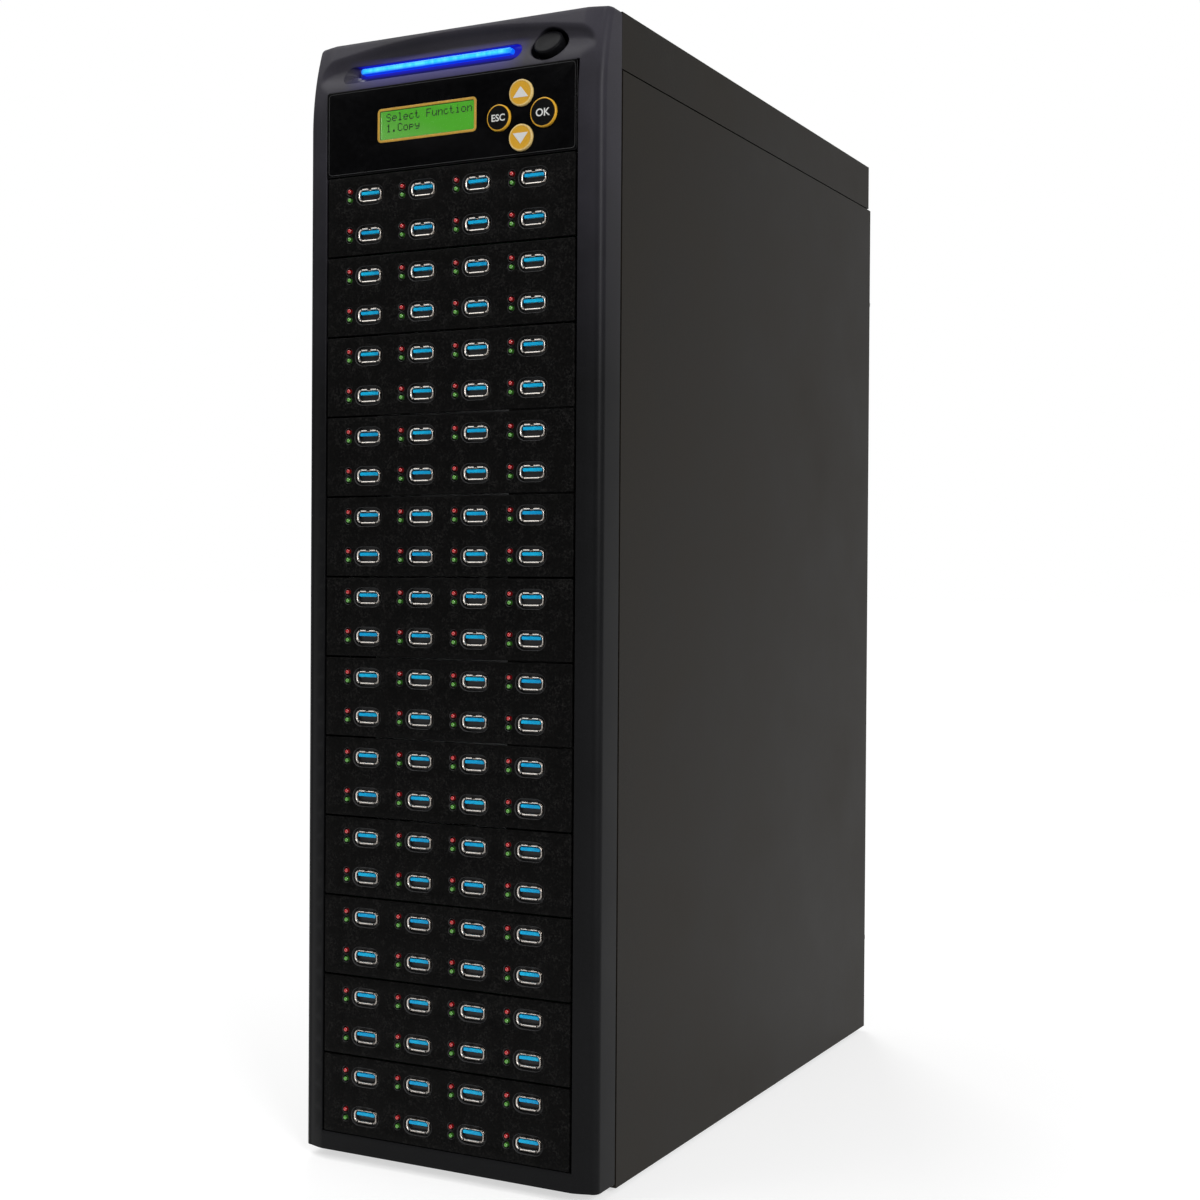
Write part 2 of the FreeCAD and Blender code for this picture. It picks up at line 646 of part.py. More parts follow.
def usb_shell():
    """Blind steel shell of one socket, its mouth flared, with the socket's middle at x = z = 0."""
    width = PORT_W + 2 * SHELL_T
    height = PORT_H + 2 * SHELL_T
    neck = FACE_Y + FLARE_D
    body = block(centred(0, width), (neck, SHELL_BACK), centred(0, height))
    flare = tapered(mouth(FLARE_W, FLARE_H, FACE_Y), mouth(width, height, neck), False)
    inside = block(centred(0, PORT_W), (FACE_Y - FLARE_D, SHELL_BACK - SHELL_T), centred(0, PORT_H))
    return fused([body, flare]).cut(inside)


def usb_tongue():
    """Contact tongue of one socket."""
    return block(centred(0, TONGUE_W), (FACE_Y + TONGUE_INSET, SHELL_BACK - SHELL_T),
                 centred(TONGUE_RISE, TONGUE_T))


def lamp():
    """Lens of one lamp as a low many-sided dome on the module's face."""
    tip = V(0, FACE_Y - LED_H, 0)
    base = ring_points(LED_R, LED_SIDES, V(0, FACE_Y, 0), V(1, 0, 0), V(0, 0, 1))
    sides = [Part.Face(Part.makePolygon([base[i - 1], base[i], tip, base[i - 1]]))
             for i in range(LED_SIDES)]
    floor = Part.Face(Part.makePolygon(base + base[:1]))
    return Part.makeSolid(Part.makeShell(sides + [floor]))


def at_ports(shape, dx, dz):
    """Copies of a shape at every socket of the tower, moved by dx and dz from its middle."""
    copies = []
    for bay in range(BAY_COUNT):
        for x, z in port_places(bay):
            copies.append(shape.translated(V(x + dx, 0, z + dz)))
    return Part.makeCompound(copies)


def key_places():
    """Middle and radius of each key."""
    z = CONTROL_Z + KEY_RISE
    return {"up_button": (KEY_X, z + KEY_REACH_Z, KEY_R),
            "down_button": (KEY_X, z - KEY_REACH_Z, KEY_R),
            "esc_button": (KEY_X - KEY_REACH_X, z, KEY_R),
            "ok_button": (KEY_X + KEY_REACH_X, z, OK_KEY_R)}


def control_faceplate():
    z = CONTROL_Z + LCD_RISE
    deep = (FACE_Y - FACE_T, PLATE_BACK + FACE_T)
    cuts = [block(centred(LCD_X, LCD_W), deep, centred(z, LCD_H))]
    for x, up, radius in key_places().values():
        cuts.append(rod(radius + FIT, KEY_SIDES, V(x, deep[0], up), V(0, deep[1] - deep[0], 0)))
    return tray(CONTROL_W, (CONTROL_Z, CONTROL_Z + CONTROL_H), cuts)


def key(place):
    x, z, radius = place
    return rod(radius, KEY_SIDES, V(x, FACE_Y - KEY_PROUD, z),
               V(0, KEY_PROUD + FACE_T + KEY_TAIL, 0))


def lcd_module():
    """Display: its steel frame behind the panel and the glass raised into the window."""
    z = CONTROL_Z + LCD_RISE
    frame = block(centred(LCD_X, LCD_FRAME_W), (PLATE_BACK, PLATE_BACK + LCD_FRAME_D),
                  centred(z, LCD_FRAME_H))
    glass = block(centred(LCD_X, LCD_W - 2 * FIT), (FACE_Y + LCD_WINDOW_T, PLATE_BACK),
                  centred(z, LCD_H - 2 * FIT))
    return fused([frame, glass])


def lcd_window():
    return block(centred(LCD_X, LCD_W - 2 * FIT), (FACE_Y, FACE_Y + LCD_WINDOW_T),
                 centred(CONTROL_Z + LCD_RISE, LCD_H - 2 * FIT))


def lcd_surround():
    """Gold rim round the display's window."""
    z = CONTROL_Z + LCD_RISE
    y = (FACE_Y - LCD_RIM_T, FACE_Y)
    outer = block(centred(LCD_X, LCD_W + 2 * LCD_RIM), y, centred(z, LCD_H + 2 * LCD_RIM))
    return outer.cut(block(centred(LCD_X, LCD_W), (y[0] - FIT, y[1] + FIT), centred(z, LCD_H)))


def control_board():
    """Board behind the display, with a push switch under each key."""
    width = MODULE_W - 2 * (EAR_T + FIT)
    y = PLATE_BACK + LCD_FRAME_D
    board = block(centred(0, width), (y, y + BOARD_T),
                  (CONTROL_Z + BOARD_MARGIN, CONTROL_Z + CONTROL_H - BOARD_MARGIN))
    face = PLATE_BACK + KEY_TAIL + KEY_TRAVEL + FIT
    switches = [block(centred(x, TACT_W), (face, y), centred(z, TACT_W))
                for x, z, radius in key_places().values()]
    return fused([board] + switches)


# ---- power supply ----
def power_supply():
    """Steel box with its fan's housing, grille, switch housing and seat for the inlet."""
    middle = PSU_Z + PSU_H / 2
    outer = block((-PSU_W / 2, PSU_W / 2), (REAR_Y - PSU_D, REAR_Y), (PSU_Z, PSU_Z + PSU_H))
    inner = block((SHEET - PSU_W / 2, PSU_W / 2 - SHEET), (REAR_Y - PSU_D + SHEET, REAR_Y - SHEET),
                  (PSU_Z + SHEET, PSU_Z + PSU_H - SHEET))
    wall = REAR_Y - SHEET
    motor_y = wall - PSU_FAN_DEPTH
    side = 2 * (PSU_FAN_R + PSU_FAN_WALL)
    housing = block(centred(PSU_FAN_X, side), (motor_y - FAN_PLATE_T, wall), centred(middle, side))
    switch = block(centred(INLET_X, ROCKER_W + 2 * (FIT + SHEET)), (REAR_Y - ROCKER_D - SHEET, wall),
                   centred(PSU_Z + ROCKER_RISE, 2 * (ROCKER_REACH + SHEET)))
    chamber = rod(PSU_FAN_R, FAN_SIDES, V(PSU_FAN_X, wall, middle), V(0, motor_y - wall, 0))
    socket = rod(AXLE_R + AXLE_GAP, AXLE_SIDES, V(PSU_FAN_X, wall, middle),
                 V(0, motor_y - wall - 2 * FAN_PLATE_T, 0))
    inlet = block(centred(INLET_X, INLET_W), (wall - SHEET, REAR_BACK),
                  centred(PSU_Z + INLET_RISE, INLET_H))
    rocker = block(centred(INLET_X, ROCKER_W + 2 * FIT), (REAR_Y - ROCKER_D, REAR_BACK),
                   centred(PSU_Z + ROCKER_RISE, 2 * ROCKER_REACH))
    hub = PSU_FAN_R * FAN_HUB_R / FAN_BORE_R
    bore = PSU_FAN_R - GRILLE_BAR
    slots = grille_cuts(PSU_FAN_X, middle, hub, bore, PSU_RINGS, PSU_SECTORS, (wall - SHEET, REAR_BACK))
    slots += grille_cuts(PSU_FAN_X, middle, hub, bore, 1, MOTOR_STRUTS,
                         (motor_y - 2 * FAN_PLATE_T, motor_y + SHEET))
    body = fused([outer.cut(inner), housing, switch])
    return body.cut(fused([chamber, socket])).cut(Part.makeCompound([inlet, rocker] + slots))


def power_inlet():
    """Mains inlet: a flush shroud, open to the back."""
    z = PSU_Z + INLET_RISE
    shroud = block(centred(INLET_X, INLET_W), (REAR_Y - INLET_D, REAR_Y), centred(z, INLET_H))
    return shroud.cut(block(centred(INLET_X, INLET_MOUTH_W), (REAR_Y - INLET_MOUTH_D, REAR_BACK),
                            centred(z, INLET_MOUTH_H)))


def inlet_pins():
    floor = REAR_Y - INLET_MOUTH_D
    z = PSU_Z + INLET_RISE
    places = [(INLET_X - PIN_PITCH / 2, z - PIN_EARTH_RISE), (INLET_X, z + PIN_EARTH_RISE),
              (INLET_X + PIN_PITCH / 2, z - PIN_EARTH_RISE)]
    return Part.makeCompound([block(centred(x, PIN_W), (floor, floor + PIN_L), centred(up, PIN_H))
                              for x, up in places])


def power_rocker():
    """Rocker of the mains switch, lying at the on side of its travel."""
    z = PSU_Z + ROCKER_RISE
    pivot = REAR_Y - ROCKER_D / 2
    half = ROCKER_H / 2
    rise = half * math.tan(math.radians(ROCKER_TILT))
    outline = [V(0, pivot, -half), V(0, REAR_Y - rise, -half), V(0, REAR_Y, 0),
               V(0, REAR_Y - rise, half), V(0, pivot, half)]
    points = [V(INLET_X - ROCKER_W / 2, p.y, p.z + z) for p in outline]
    rocker = prism(points, V(ROCKER_W, 0, 0))
    rocker.rotate(V(0, pivot, z), V(1, 0, 0), ROCKER_TILT)
    return rocker


# ---- fans ----
def fan_frame(rise):
    """Square frame with a round bore, its motor plate on four struts at the back."""
    z = BASE_Z + rise
    back = REAR_Y
    body = block(centred(0, FAN_W), (back - FAN_D, back), centred(z, FAN_W))
    bore = rod(FAN_BORE_R, FAN_SIDES, V(0, back + SHEET, z), V(0, -FAN_D - 2 * SHEET, 0))
    plate = rod(FAN_HUB_R, FAN_SIDES, V(0, back, z), V(0, -FAN_PLATE_T, 0))
    reach = FAN_BORE_R + FAN_STRUT_W / 2
    upright = block(centred(0, FAN_STRUT_W), (back - FAN_PLATE_T, back), centred(z, 2 * reach))
    level = block(centred(0, 2 * reach), (back - FAN_PLATE_T, back), centred(z, FAN_STRUT_W))
    socket = rod(AXLE_R + AXLE_GAP, AXLE_SIDES, V(0, back + SHEET, z),
                 V(0, -FAN_PLATE_T - 2 * SHEET, 0))
    return fused([body.cut(bore), plate, upright, level]).cut(socket)


def fan_rotor(centre, bore_r, depth):
    """Hub with twisted blades and its axle; centre is the back of the hub."""
    hub_r = bore_r * FAN_HUB_R / FAN_BORE_R
    pieces = [rod(hub_r, FAN_SIDES, centre, V(0, -depth, 0))]
    root = hub_r - BLADE_T
    clear_r = bore_r * math.cos(math.pi / FAN_SIDES) - TIP_GAP
    spread = (depth * math.cos(math.radians(BLADE_TIP_TILT)) + BLADE_T) / 2
    tip = math.sqrt(clear_r ** 2 - spread ** 2)
    for i in range(BLADE_COUNT):
        turn = 2 * math.pi * i / BLADE_COUNT
        out = V(math.cos(turn), 0, math.sin(turn))
        across = V(-math.sin(turn), 0, math.cos(turn))
        ends = []
        for radius, tilt in ((root, BLADE_ROOT_TILT), (tip, BLADE_TIP_TILT)):
            lean = math.radians(tilt)
            chord = (across * math.cos(lean) + V(0, -math.sin(lean), 0)) * (depth / 2)
            skin = (across * math.sin(lean) + V(0, math.cos(lean), 0)) * (BLADE_T / 2)
            middle = centre + out * radius + V(0, -depth / 2, 0)
            ends.append([middle - chord - skin, middle + chord - skin,
                         middle + chord + skin, middle - chord + skin])
        pieces.append(tapered(ends[0], ends[1], True))
    pieces.append(rod(AXLE_R, AXLE_SIDES, centre, V(0, FAN_PLATE_T - FIT, 0)))
    return fused(pieces)


def exhaust_rotor(rise):
    """Rotor running just in front of its frame's motor plate."""
    back = REAR_Y - FAN_PLATE_T - FIT
    return fan_rotor(V(0, back, BASE_Z + rise), FAN_BORE_R, FAN_D - FAN_PLATE_T - 2 * FIT)


def psu_fan_rotor():
    """Rotor in the supply's chamber, its axle in the chamber's front wall."""
    depth = PSU_FAN_DEPTH - GRILLE_BAR
    front = REAR_Y - SHEET - PSU_FAN_DEPTH + FIT
    rotor = fan_rotor(V(0, 0, 0), PSU_FAN_R, depth)
    rotor.rotate(V(0, 0, 0), V(1, 0, 0), 180)
    rotor.translate(V(PSU_FAN_X, front, PSU_Z + PSU_H / 2))
    return rotor


def rear_screws():
    """Screw heads of both exhaust fans and of the power supply, on the rear panel."""
    half = FAN_HOLE_PITCH / 2
    places = [(x, BASE_Z + rise + z) for rise in (FAN_LOWER_RISE, FAN_UPPER_RISE)
              for x in (-half, half) for z in (-half, half)]
    side = (PSU_W - PSU_RIM) / 2
    places += [(x, z) for x in (-side, side)
               for z in (PSU_Z + PSU_RIM / 2, PSU_Z + PSU_H - PSU_RIM / 2)]
    return Part.makeCompound([rod(SCREW_R, SCREW_SIDES, V(x, REAR_BACK, z), V(0, SCREW_H, 0))
                              for x, z in places])


def write_all():
    write("feet", feet())
    write("chassis_frame", chassis_frame())
    write("top_cover", top_cover())
    write("rear_panel", rear_panel())
    write("right_side_panel", side_panel())
    write("left_side_panel", mirrored(side_panel()))
    write("right_thumbscrews", thumbscrews())
    write("left_thumbscrews", mirrored(thumbscrews()))
    write("rear_screws", rear_screws())
    write("front_bezel", front_bezel())
    write("power_button", power_button())
    write("power_switch", power_switch())
    write("light_strip", light_strip())
    write("strip_board", strip_board())
    write("control_faceplate", control_faceplate())
    for name, place in key_places().items():
        write(name, key(place))
    write("lcd_module", lcd_module())
    write("lcd_window", lcd_window())
    write("lcd_surround", lcd_surround())
    write("control_board", control_board())
    for bay in range(BAY_COUNT):
        number = "_%02d" % (BAY_COUNT - bay)
        write("port_faceplate" + number, port_faceplate(bay))
        write("port_board" + number, port_board(bay))
    write("usb_shells", at_ports(usb_shell(), 0, 0))
    write("usb_tongues", at_ports(usb_tongue(), 0, 0))
    write("red_leds", at_ports(lamp(), LED_DX, LED_RISE + LED_SPREAD / 2))
    write("green_leds", at_ports(lamp(), LED_DX, LED_RISE - LED_SPREAD / 2))
    write("power_supply", power_supply())
    write("psu_fan_rotor", psu_fan_rotor())
    write("power_inlet", power_inlet())
    write("inlet_pins", inlet_pins())
    write("power_rocker", power_rocker())
    write("lower_fan_frame", fan_frame(FAN_LOWER_RISE))
    write("lower_fan_rotor", exhaust_rotor(FAN_LOWER_RISE))
    write("upper_fan_frame", fan_frame(FAN_UPPER_RISE))
    write("upper_fan_rotor", exhaust_rotor(FAN_UPPER_RISE))


write_all()
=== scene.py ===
import json
from math import copysign, cos, hypot, pi, radians, sin, sqrt, tan

import bmesh
import bpy
from mathutils import Matrix, Vector, geometry

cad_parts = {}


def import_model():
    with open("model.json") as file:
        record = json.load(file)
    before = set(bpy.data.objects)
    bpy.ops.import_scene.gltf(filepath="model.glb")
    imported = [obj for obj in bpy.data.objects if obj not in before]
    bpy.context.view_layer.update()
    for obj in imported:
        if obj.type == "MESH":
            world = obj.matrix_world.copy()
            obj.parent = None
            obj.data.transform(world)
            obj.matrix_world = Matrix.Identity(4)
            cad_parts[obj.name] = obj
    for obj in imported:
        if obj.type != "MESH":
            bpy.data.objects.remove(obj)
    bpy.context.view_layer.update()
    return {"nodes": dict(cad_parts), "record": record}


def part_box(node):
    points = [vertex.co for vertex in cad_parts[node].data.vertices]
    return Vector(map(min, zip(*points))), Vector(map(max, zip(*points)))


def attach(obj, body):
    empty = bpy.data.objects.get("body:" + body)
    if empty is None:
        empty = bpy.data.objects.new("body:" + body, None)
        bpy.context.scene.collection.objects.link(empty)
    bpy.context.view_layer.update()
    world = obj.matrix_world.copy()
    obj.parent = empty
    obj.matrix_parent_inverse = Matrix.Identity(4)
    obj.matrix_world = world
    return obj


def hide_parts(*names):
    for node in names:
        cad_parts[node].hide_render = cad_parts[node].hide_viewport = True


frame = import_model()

# Lengths are millimetres up to Mesh.piece, which makes metres of them. X runs to the right, Y to the back
# and Z up, so the front faces -Y. A rounded rectangle or round hole is (middle x, middle z, w, h, corner).
MM = 0.001
NODES = frame["nodes"]
RIGHTWARD, BACKWARD = (1, 0, 0), (0, 1, 0)
FANS = ("lower_fan_frame", "upper_fan_frame")


# -------- places
def box_mm(node):
    low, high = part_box(node)
    return low / MM, high / MM


def middle(node):
    """Middle (x, z) of a CAD node seen from the front."""
    low, high = box_mm(node)
    return (low.x + high.x) / 2, (low.z + high.z) / 2


def outline(low, high, corner, grow=0.0):
    """Rounded rectangle round a box seen from the front, with a gap."""
    cx, cz = (low.x + high.x) / 2, (low.z + high.z) / 2
    return cx, cz, high.x - low.x + 2 * grow, high.z - low.z + 2 * grow, corner


BEZEL_LOW, BEZEL_HIGH = box_mm("front_bezel")
PANEL_LOW, PANEL_HIGH = box_mm("control_faceplate")
LCD_LOW, LCD_HIGH = box_mm("lcd_window")
STRIP_LOW, STRIP_HIGH = box_mm("light_strip")
SHELLS_LOW, SHELLS_HIGH = box_mm("usb_shells")
BAYS = [box_mm("port_faceplate_%02d" % number) for number in range(1, 13)]
FACE_Y = PANEL_LOW.y  # front of the control panel and the modules
FACE_T = 2.0  # their thickness
EAR_T = 1.2  # side ears behind them
HALF_W = BEZEL_HIGH.x
BEZEL_TOP, BEZEL_BACK = BEZEL_HIGH.z, BEZEL_HIGH.y
OPEN_HALF = 75.6  # half the width of the bezel's opening
OPEN_Z = BEZEL_LOW.z + 9.7  # its lower edge
BROW_Z = BEZEL_TOP - 27.8  # its upper edge, where the brow starts
SOCKET_W, SOCKET_ROW = 14.6, 20.7
PORT_COLUMNS = [SHELLS_LOW.x + SOCKET_W / 2 + i * (SHELLS_HIGH.x - SHELLS_LOW.x - SOCKET_W) / 3
                for i in range(4)]
LAMP_LEFT, LAMP_RISE = -12.5, {"red": 2.65, "green": -1.85}  # lamps, from the middle of their socket
BAR_RISE, BAR_FORWARD = 1.1, 1.6  # the visible bar lies this far above and before its solid
BAR_Z = (STRIP_LOW.z + STRIP_HIGH.z) / 2 + BAR_RISE


# -------- materials
MATS = {}


class Nodes:
    """Adds shader nodes to a tree. A value may be a number, a colour or another node's output."""

    def __init__(self, tree):
        self.tree = tree

    def feed(self, socket, value):
        if isinstance(value, bpy.types.NodeSocket):
            self.tree.links.new(value, socket)
        else:
            socket.default_value = (*value, 1.0) if socket.type == "RGBA" else value

    def node(self, kind, *inputs, **settings):
        made = self.tree.nodes.new("ShaderNode" + kind)
        for key, value in settings.items():
            setattr(made, key, value)
        for socket, value in inputs:
            self.feed(made.inputs[socket], value)
        return made

    def calc(self, operation, a, b=0.0):
        return self.node("Math", (0, a), (1, b), operation=operation).outputs[0]

    def span(self, value, low, high, to_low=0.0, to_high=1.0):
        """Carries low..high to to_low..to_high, and stops at the ends."""
        return self.node("MapRange", ("Value", value), ("From Min", low), ("From Max", high),
                         ("To Min", to_low), ("To Max", to_high)).outputs["Result"]

    def seen(self, gloss=1.0):
        """1 for the camera's rays, also by way of mirrors and windows; gloss weakens the mirrored ones."""
        ray = self.node("LightPath").outputs
        matt, shiny = (self.span(ray[key + " Depth"], 0.0, 1.0, 1.0, 0.0) for key in ("Diffuse", "Glossy"))
        gloss = self.calc("MULTIPLY", ray["Is Glossy Ray"], gloss)
        mirrored = self.calc("MAXIMUM", gloss, self.calc("MULTIPLY", ray["Is Transmission Ray"], shiny))
        return self.calc("MAXIMUM", ray["Is Camera Ray"], self.calc("MULTIPLY", mirrored, matt))


class Shade(Nodes):
    """Principled material with textures in object coordinates, kept in MATS. The colour and roughness
    it starts with are plain values, for viewers that draw no textures."""

    def __init__(self, name, color, rough, metallic=0.0, specular=0.5, coat=0.0, coat_rough=0.1):
        MATS[name] = made = bpy.data.materials.new(name)
        made.use_nodes = True
        super().__init__(made.node_tree)
        self.bsdf = self.tree.nodes["Principled BSDF"]
        for socket, value in (("Base Color", color), ("Roughness", rough), ("Metallic", metallic),
                              ("Specular IOR Level", specular), ("Coat Weight", coat),
                              ("Coat Roughness", coat_rough)):
            self.put(socket, value)
        self.coords = self.node("TexCoord").outputs["Object"]
        self.normal = None

    def put(self, socket, value):
        self.feed(self.bsdf.inputs[socket], value)

    def noise(self, size_mm, detail, stretch=None, rough=0.55):
        place = self.coords
        if stretch:
            place = self.node("Mapping", ("Vector", place), ("Scale", stretch)).outputs["Vector"]
        return self.node("TexNoise", ("Vector", place), ("Scale", 1 / (size_mm * MM)), ("Detail", detail),
                         ("Roughness", rough)).outputs["Fac"]

    def cells(self, size_mm):
        made = self.node("TexVoronoi", ("Vector", self.coords), ("Scale", 1 / (size_mm * MM)))
        return made.outputs["Distance"]

    def blend(self, share, a, b):
        return self.node("Mix", (0, share), (6, a), (7, b), data_type="RGBA").outputs[2]

    def tint(self, value, low, high, a, b, most=1.0):
        """Colour a that turns into b, by most at the end, as value goes from low to high."""
        return self.blend(self.span(value, low, high, 0.0, most), a, b)

    def axis(self, name):
        return self.node("SeparateXYZ", (0, self.coords)).outputs[name]

    def along(self, name, low, high, to_low=0.0, to_high=1.0):
        """Span of an object coordinate between two places in millimetres."""
        return self.span(self.axis(name), low * MM, high * MM, to_low, to_high)

    def color(self, value):
        self.put("Base Color", value)

    def rough(self, value, low, high, to_low, to_high):
        self.put("Roughness", self.span(value, low, high, to_low, to_high))

    def bump(self, value, depth_mm, strength):
        """Adds relief on top of what was added before."""
        made = self.node("Bump", ("Height", value), ("Distance", depth_mm * MM), ("Strength", strength))
        if self.normal is not None:
            self.feed(made.inputs["Normal"], self.normal)
        self.normal = made.outputs["Normal"]
        self.put("Normal", self.normal)

    def glow(self, color, strength):
        self.put("Emission Color", color)
        self.put("Emission Strength", strength)


def powder_coat():
    s = Shade("case_paint", (0.012, 0.011, 0.009), 0.42, specular=0.07)
    drift, grain = s.noise(60, 3), s.noise(0.9, 2)
    base = s.tint(drift, 0.35, 0.65, (0.0074, 0.0060, 0.0042), (0.0142, 0.0116, 0.0084))
    s.color(s.tint(grain, 0.35, 0.7, base, (0.0215, 0.0182, 0.0140), 0.7))
    s.rough(s.calc("ADD", drift, grain), 0.7, 1.3, 0.38, 0.48)
    s.bump(s.noise(1.1, 3), 0.05, 0.35)
    s.bump(s.noise(14, 2), 0.25, 0.12)


def bezel_plastic():
    """Satin moulded plastic, with painted light that makes it paler towards the brow, and the lit bar's
    blue light painted on it as a glow.
    """
    s = Shade("bezel_plastic", (0.006, 0.006, 0.007), 0.40, specular=0.1)
    grain, drift = s.noise(0.45, 2), s.noise(45, 3)
    base = s.tint(drift, 0.35, 0.65, (0.0034, 0.0035, 0.0038), (0.0052, 0.0053, 0.0058))
    # painted light: the colour turns much paler up to the brow, standing in for light from above
    brow = s.tint(drift, 0.35, 0.65, (0.038, 0.036, 0.044), (0.052, 0.049, 0.062))
    base = s.blend(s.along("Z", BROW_Z - 160, BROW_Z + 12), base, brow)
    s.color(s.tint(grain, 0.35, 0.65, base, (0.016, 0.016, 0.018), 0.25))
    s.rough(s.calc("ADD", drift, grain), 0.7, 1.3, 0.38, 0.48)
    s.bump(grain, 0.03, 0.35)
    # painted light: a blue glow of the lit bar, spilled on the plastic round and below the groove
    across = s.calc("MULTIPLY", s.along("X", STRIP_LOW.x - 6, STRIP_LOW.x + 16),
                    s.along("X", STRIP_HIGH.x + 12, STRIP_HIGH.x - 2))
    below = s.calc("MULTIPLY", s.along("Z", STRIP_LOW.z - 12, STRIP_LOW.z - 2),
                   s.along("Z", STRIP_HIGH.z + 5, STRIP_HIGH.z + 1))
    s.glow((0.016, 0.010, 0.17), s.calc("MULTIPLY", across, below))


def module_face():
    """Rough black paint with pale specks, fewer of them in dark patches."""
    s = Shade("module_face", (0.004, 0.004, 0.004), 0.6, specular=0.06)
    grain, cells = s.noise(1.1, 4, rough=0.8), s.cells(1.1)
    base = s.tint(grain, 0.48, 0.62, (0.0005, 0.0005, 0.0006), (0.0165, 0.0158, 0.0150))
    base = s.tint(s.noise(2.4, 3), 0.54, 0.68, base, (0.0105, 0.0096, 0.0088), 0.5)
    patches = s.span(s.noise(5.5, 3), 0.42, 0.60, 0.75, 0.0)
    s.color(s.blend(patches, base, (0.0012, 0.0011, 0.0010)))
    s.rough(grain, 0.3, 0.7, 0.48, 0.68)
    s.bump(s.calc("ADD", grain, s.calc("MULTIPLY", cells, 0.6)), 0.11, 0.7)


def plain_plastic(name, color, rough, grain_mm, depth, coat=0.0, specular=0.5):
    s = Shade(name, color, rough, coat=coat, specular=specular)
    grain = s.noise(grain_mm, 3)
    darker, lighter = [c * 0.8 for c in color], [min(1.0, c * 1.35 + 0.004) for c in color]
    s.color(s.tint(s.calc("ADD", grain, s.noise(grain_mm * 25, 2)), 0.75, 1.25, darker, lighter))
    s.rough(grain, 0.3, 0.7, rough - 0.04, rough + 0.05)
    s.bump(grain, depth, 0.3)


def panel_gloss():
    s = Shade("panel_gloss", (0.0012, 0.0012, 0.0015), 0.22, specular=0.1, coat=0.02)
    s.rough(s.noise(24, 4, rough=0.65), 0.35, 0.7, 0.18, 0.3)
    s.color(s.tint(s.noise(3, 3), 0.4, 0.7, (0.0008, 0.0008, 0.0011), (0.0020, 0.0020, 0.0025)))
    s.bump(s.noise(9, 2), 0.03, 0.04)


def metal(name, color, rough, brushed=None, grain_mm=1.0):
    s = Shade(name, color, rough, metallic=1.0)
    streak = s.noise(grain_mm, 4, stretch=brushed)
    s.color(s.tint(s.calc("ADD", streak, s.noise(18, 4)), 0.7, 1.3, [c * 0.78 for c in color], color))
    s.rough(streak, 0.3, 0.7, rough - 0.07, rough + 0.09)
    s.bump(streak, 0.02, 0.3)


def zinc_steel():
    # darker than plain zinc: painted shade for the narrow gaps that the chassis shows through
    s = Shade("zinc_steel", (0.30, 0.31, 0.32), 0.45, metallic=1.0)
    spangle = s.cells(9)
    s.color(s.tint(spangle, 0.1, 0.7, (0.20, 0.205, 0.21), (0.34, 0.345, 0.35)))
    s.rough(s.calc("ADD", spangle, s.noise(2, 3)), 0.4, 1.3, 0.3, 0.5)
    s.bump(s.noise(1.5, 3), 0.02, 0.25)


def circuit_board():
    s = Shade("circuit_board", (0.02, 0.12, 0.05), 0.4, coat=0.3)
    tracks = s.span(s.noise(3, 1, stretch=(1.0, 1.0, 0.15)), 0.48, 0.52)
    s.color(s.blend(tracks, (0.015, 0.10, 0.045), (0.03, 0.17, 0.07)))
    s.bump(tracks, 0.03, 0.5)


def gold_key():
    s = Shade("gold_key", (0.70, 0.38, 0.03), 0.38, specular=0.3, coat=0.05, coat_rough=0.2)
    grain = s.noise(0.6, 3)
    s.color(s.tint(grain, 0.3, 0.7, (0.74, 0.38, 0.022), (0.86, 0.47, 0.040)))
    s.rough(s.noise(4, 3), 0.3, 0.7, 0.32, 0.46)
    s.bump(grain, 0.02, 0.2)


def gold_trim():
    s = Shade("gold_trim", (0.62, 0.36, 0.07), 0.4, coat=0.2)
    s.color(s.tint(s.noise(0.8, 3), 0.3, 0.7, (0.54, 0.29, 0.035), (0.72, 0.42, 0.06)))
    s.bump(s.noise(0.4, 2), 0.01, 0.2)


def lcd_green():
    """Lit field of the display, with a painted reflection that makes it paler towards its lower left."""
    s = Shade("lcd_green", (0.02, 0.10, 0.01), 0.25)
    slope = s.calc("ADD", s.calc("MULTIPLY", s.along("X", LCD_LOW.x, LCD_HIGH.x), 0.75),
                   s.calc("MULTIPLY", s.along("Z", LCD_LOW.z, LCD_HIGH.z), 0.5))
    field = s.tint(slope, 0.42, 0.62, (0.098, 0.37, 0.040), (0.072, 0.37, 0.018))
    # painted reflection: a paler band towards the lower left
    field = s.blend(s.span(slope, 0.05, 0.4, 0.35, 0.0), field, (0.20, 0.46, 0.12))
    s.glow(s.tint(s.noise(0.35, 1), 0.4, 0.6, field, (0.03, 0.12, 0.01), 0.08), 0.85)


def lens(name, color, strength):
    s = Shade(name, [c * 0.6 for c in color], 0.18, specular=0.6, coat=0.6, coat_rough=0.05)
    s.glow(s.tint(s.noise(0.7, 1), 0.35, 0.65, [c * 0.7 for c in color], color), strength)


def strip_lens():
    """Lit bar: a pale cyan core that turns blue at its edges and ends."""
    s = Shade("strip_lens", (0.0, 0.25, 0.6), 0.2)
    edge = s.span(s.calc("ABSOLUTE", s.calc("SUBTRACT", s.axis("Z"), BAR_Z * MM)), 0.3 * MM, 1.6 * MM)
    spots = s.noise(3.0, 2, stretch=(1.0, 0.2, 0.2))
    core = s.tint(spots, 0.35, 0.65, (0.02, 0.40, 1.0), (0.09, 0.58, 1.0))
    ends = s.calc("MAXIMUM", s.along("X", STRIP_HIGH.x - 5, STRIP_HIGH.x),
                  s.along("X", STRIP_LOW.x + 3, STRIP_LOW.x))
    s.glow(s.blend(s.calc("MAXIMUM", edge, ends), core, (0.0, 0.02, 0.55)), 1.25)


